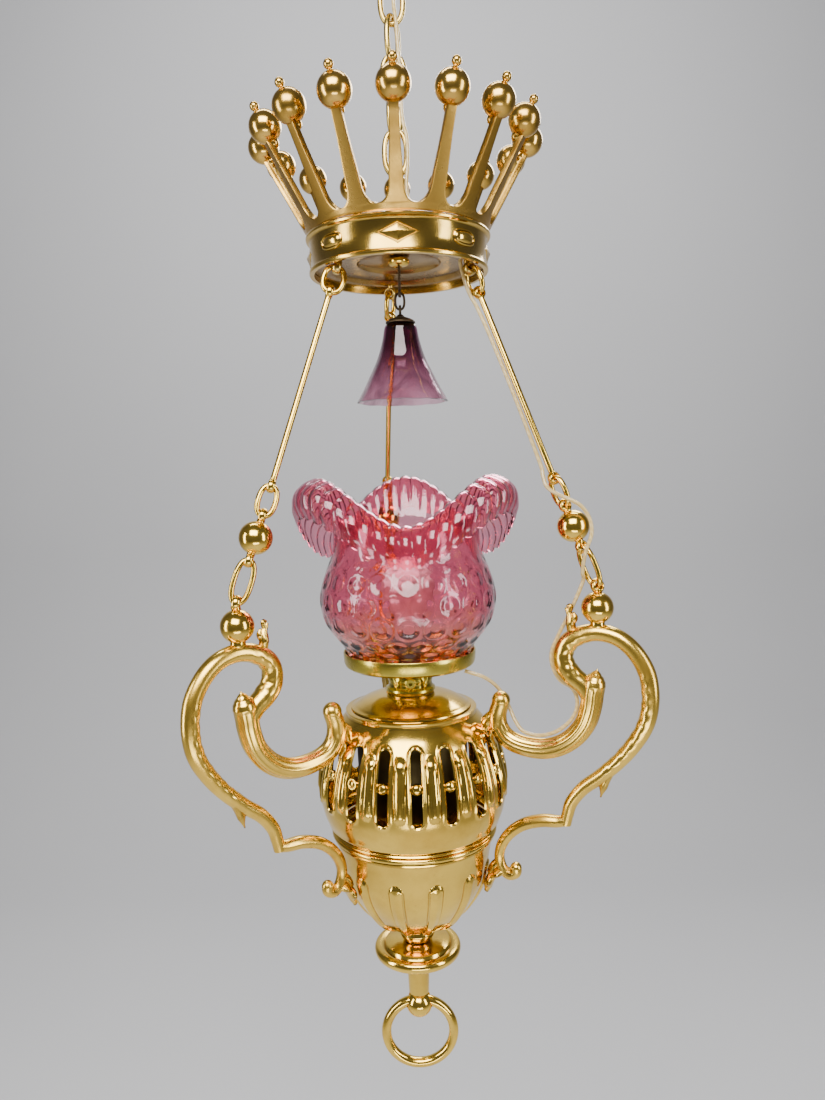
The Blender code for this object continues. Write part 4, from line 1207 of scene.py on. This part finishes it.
def build_burner(looks):
    dome = turned("font_dome", rounded([(44.2, -601.6), (36, -597.4), (26, -595.8),
                                        (15.5, -595.4)], 12) + [(15.5, -593.9)]
                  + rounded([(19.6, -592.9), (28, -593.9), (37, -596.8), (44, -600.4),
                             (47.4, -602.6)], 26)
                  + [(48.6, -602.9), (49.6, -603.4), (49.8, -604.4), (46.6, -604.4)], 160)
    finish(dome, looks["brass"], "lamp", ["oil_font"])
    # The tank is seen only through the slots and is coloured near black: painted shade.
    tank = turned("font_tank", rounded([(46.4, -604.6), (46, -650), (44, -676), (38, -692), (20, -698)], 24)
                  + [(0.2, -699), (0.2, -697.2), (19, -696.2), (36.6, -690.6),
                     (44.2, -650), (44.6, -604.6)], 96)
    finish(tank, looks["inside"], "lamp", ["oil_font"])

    collar = turned("collar", [
        (15.2, -572), (19.4, -572.2), (19.8, -573.2), (19.2, -574.2), (18.2, -574.8), (18, -579),
        (18.6, -580), (18.6, -582), (18, -583), (18, -586.4), (18.8, -587.4), (20.4, -588.4),
        (20.6, -590.2), (19.8, -591.4), (19.4, -592.4), (15.2, -592.4)], 96)
    pieces = [collar]
    lug = turned("lug", [(1.6, 3.2), (3.6, 3.2), (4.5, 2.4), (4.5, -3.5), (0.2, -3.5), (0.2, 0.4),
                         (1.6, 0.4)], 32)
    lug.matrix_world = Matrix.Translation((0, -0.0208, -0.581)) @ Matrix.Rotation(
        math.radians(90), 4, "X")
    pieces.append(lug)
    for azimuth in (-125, -55, 35, 145):
        pieces.append(sweep("stay", [polar(18, azimuth, -588), polar(21, azimuth, -584),
                                     polar(23, azimuth, -577), polar(21, azimuth, -572.6)], 1.3, 12))
    collar = merged("fine_burner_collar", *pieces)
    finish(collar, looks["gallery"], "lamp", ["burner_collar"])

    gallery = turned("fine_gallery", [
        (53.5, -557.2), (54.0, -556.8), (54.7, -556.9), (55, -557.6), (54.9, -560), (54.5, -565),
        (53.6, -567.6), (50.6, -569.6), (46, -570.6), (30, -571.2), (22, -571.4), (16, -571.6),
        (16, -570.1), (30, -569.9), (46, -569.3), (50, -568.3), (52.6, -566), (53.3, -562)], 160)
    finish(gallery, looks["gallery"], "lamp", ["gallery"])

    holder = turned("fine_lamp_holder", [
        (0.2, -549), (12.4, -549), (13.2, -549.6), (13.2, -551), (13.9, -552), (14.2, -554),
        (14.2, -561), (13.6, -562), (14.2, -563), (14.2, -579), (13, -582), (11, -583),
        (0.2, -583)], 64)
    finish(holder, looks["holder"], "lamp", ["lamp_holder"])
    bulb = turned("fine_bulb", rounded([
        (0.2, -484), (6, -484.6), (12, -487), (18, -492), (21.4, -498), (22.4, -505), (20.8, -514),
        (16.6, -525), (12.8, -535), (12, -542), (12, -548.7)], 44) + [(0.2, -548.7)], 72)
    finish(bulb, looks["bulb"], "lamp", ["bulb"])


COIN_ROWS = ((-477.0, 0.5), (-494.5, 0.0), (-511.5, 0.5), (-528.5, 0.0), (-543.5, 0.5))
COINS_ROUND = 21
CRIMPS = 52


def coin_relief(azimuth, radius, height, slope):
    """Shallow round coins blown into the wall, with a fine lip round each."""
    pitch = 360 / COINS_ROUND
    relief = 0.0
    for level, shift in COIN_ROWS:
        rise = (height - level) * slope
        if abs(rise) > 12:
            continue
        turn = (azimuth - FRONT - shift * pitch + pitch / 2) % pitch - pitch / 2
        squat = 0.72 if level == COIN_ROWS[-1][0] else 1.0
        reach = math.hypot(math.radians(turn) * radius, rise / squat)
        relief -= 0.95 * (1 - ease(reach, 3.6, 8.2))
        relief += 0.2 * math.exp(-((reach - 8.8) / 0.9) ** 2)
    return relief


def build_shade(looks):
    """A bellied glass shade; its rim rises into three lobes, curls over, and is crimped."""
    belly = [(49.6, -566.2), (50.2, -561), (51.8, -557), (52.4, -554), (55, -550.6), (63, -540.6),
             (68.4, -532), (71.4, -522), (72.5, -512), (71, -502), (68, -492), (64, -482),
             (60.8, -473)]
    rim = [(59, 2.5, -461, 12), (64, 8.5, -452.5, 34), (70.5, 12, -453.5, 36.5),
           (76.5, 14.5, -461, 38), (78.4, 14.5, -471, 38.5), (76.2, 13, -481, 38.5)]
    columns, rows = CRIMPS * 12, 150
    outer, inner = [], []
    for column in range(columns):
        azimuth = FRONT + 360 * column / columns
        lobe = 0.5 + 0.5 * math.cos(math.radians(3 * (azimuth - 90)))
        knots = [(r, z, 0) for r, z in belly]
        knots += [(r + grow * lobe, z + rise * lobe, 0) for r, grow, z, rise in rim]
        path = smooth_path(knots, rows)
        crimp = abs(math.cos(math.radians(azimuth - FRONT) * CRIMPS / 2))
        outer_column, inner_column = [], []
        past_throat = False
        for index, point in enumerate(path):
            before, after = path[max(index - 1, 0)], path[min(index + 1, rows - 1)]
            along = (after - before).normalized()
            normal = Vector((along.y, -along.x, 0))
            share = index / (rows - 1)
            fold = 1.6 * ease(share, 0.6, 0.84) * (0.62 - crimp)
            hem = 3.0 * (crimp - 0.55) * ease(share, 0.88, 1.0)
            radius, height = point.x, point.y
            past_throat = past_throat or height > SHADE_THROAT_Z
            proud = 0.0
            if not past_throat:
                proud = coin_relief(azimuth, radius, height, 1 / max(abs(along.y), 0.5))
                proud *= 1 - ease(height, -486, -474)
            if height < -549:
                scallop = abs(math.cos(math.radians(azimuth - FRONT) * 10))
                proud += 1.5 * (scallop - 0.4) * ease(-height, 549, 553) * (
                    1 - ease(-height, 556.4, 558))
            thickness = 2.2 - 0.5 * share
            outside = point + normal * (fold + proud) + along * hem
            inside = point + normal * (fold - thickness) + along * hem * 0.8
            outer_column.append(polar(outside.x, azimuth, outside.y))
            inner_column.append(polar(inside.x, azimuth, inside.y))
        outer.append(outer_column)
        inner.append(inner_column)
    shade = wall_mesh("shade_wall", outer, inner)
    shade = merged("fine_glass_shade", shade)
    finish(shade, looks["shade"], "shade", ["glass_shade"])


# Studio ---------------------------------------------------------------------------------------

def build_stage():
    """A plain pale floor that sweeps up into a backdrop."""
    floor = -1.6
    profile = [(-3.5, floor), (1.6, floor)]
    profile += [(1.6 + 0.9 * math.sin(math.radians(10 * i)),
                 floor + 0.9 - 0.9 * math.cos(math.radians(10 * i))) for i in range(1, 10)]
    profile.append((2.5, 3.2))
    points, faces = [], []
    for side in (-4.5, 4.5):
        points += [Vector((side, y, z)) / MM for y, z in profile]
    count = len(profile)
    for index in range(count - 1):
        faces.append((index, index + 1, count + index + 1, count + index))
    sweep_floor = add_mesh("pale_floor", points, faces)
    material, tree, shader = new_material("floor_paper")
    where = tree.nodes.new("ShaderNodeTexCoord").outputs["Object"]
    grain = add_node(tree, "ShaderNodeTexNoise", Scale=1.2, Detail=2.0)
    tree.links.new(where, grain.inputs["Vector"])
    tint = mix_colour(tree, grain.outputs["Fac"], (0.5, 0.5, 0.515), (0.54, 0.54, 0.55))
    tree.links.new(tint, shader.inputs["Base Color"])
    shader.inputs["Roughness"].default_value = 0.9
    sweep_floor.data.materials.append(material)


def area_light(name, place, target, size, watts, colour=(1, 1, 1)):
    light = bpy.data.lights.new(name, "AREA")
    light.shape = "RECTANGLE"
    light.size, light.size_y = size
    light.energy = watts
    light.color = colour
    lamp = bpy.data.objects.new(name, light)
    bpy.context.scene.collection.objects.link(lamp)
    lamp.location = place
    lamp.rotation_mode = "QUATERNION"
    lamp.rotation_quaternion = (Vector(target) - Vector(place)).to_track_quat("-Z", "Y")


def build_lights():
    area_light("key", (-0.2, -1.3, 0.55), (0, 0, -0.5), (1.3, 0.9), 58, (1.0, 0.98, 0.93))
    area_light("fill", (1.3, -0.75, -0.3), (0, 0, -0.5), (0.35, 1.2), 14)
    area_light("left_strip", (-1.3, -0.5, -0.4), (0, 0, -0.5), (0.3, 1.2), 14)
    area_light("low_strip", (0.1, -1.2, -1.25), (0, 0, -0.6), (0.9, 0.2), 5)
    area_light("rim", (0.4, 1.2, 0.5), (0, 0, -0.4), (1.0, 0.5), 20)
    area_light("backdrop_wash", (0, 0.7, 1.7), (0, 2.3, -0.4), (2.0, 0.5), 60)
    world = bpy.data.worlds.new("studio")
    bpy.context.scene.world = world
    world.use_nodes = True
    world.node_tree.nodes["Background"].inputs["Color"].default_value = (0.2, 0.2, 0.215, 1)
    world.node_tree.nodes["Background"].inputs["Strength"].default_value = 0.7


def main():
    place_camera()
    looks = make_looks()
    build_chain_cord(looks["cord"])
    build_strand_cord(looks["cord"])
    build_arm_cord(looks["cord"])
    build_ceiling(looks)
    build_chain(looks)
    build_eye_bolt(looks)
    build_crown(looks)
    build_coronet(looks)
    build_smoke_bell(looks)
    for index, azimuth in enumerate(ARM_AZIMUTHS):
        build_strand(looks, index + 1, azimuth)
        build_arm(looks, index + 1, azimuth)
    build_urn_upper(looks)
    build_urn_lower(looks)
    build_foot(looks)
    build_burner(looks)
    build_shade(looks)
    build_stage()
    build_lights()


main()
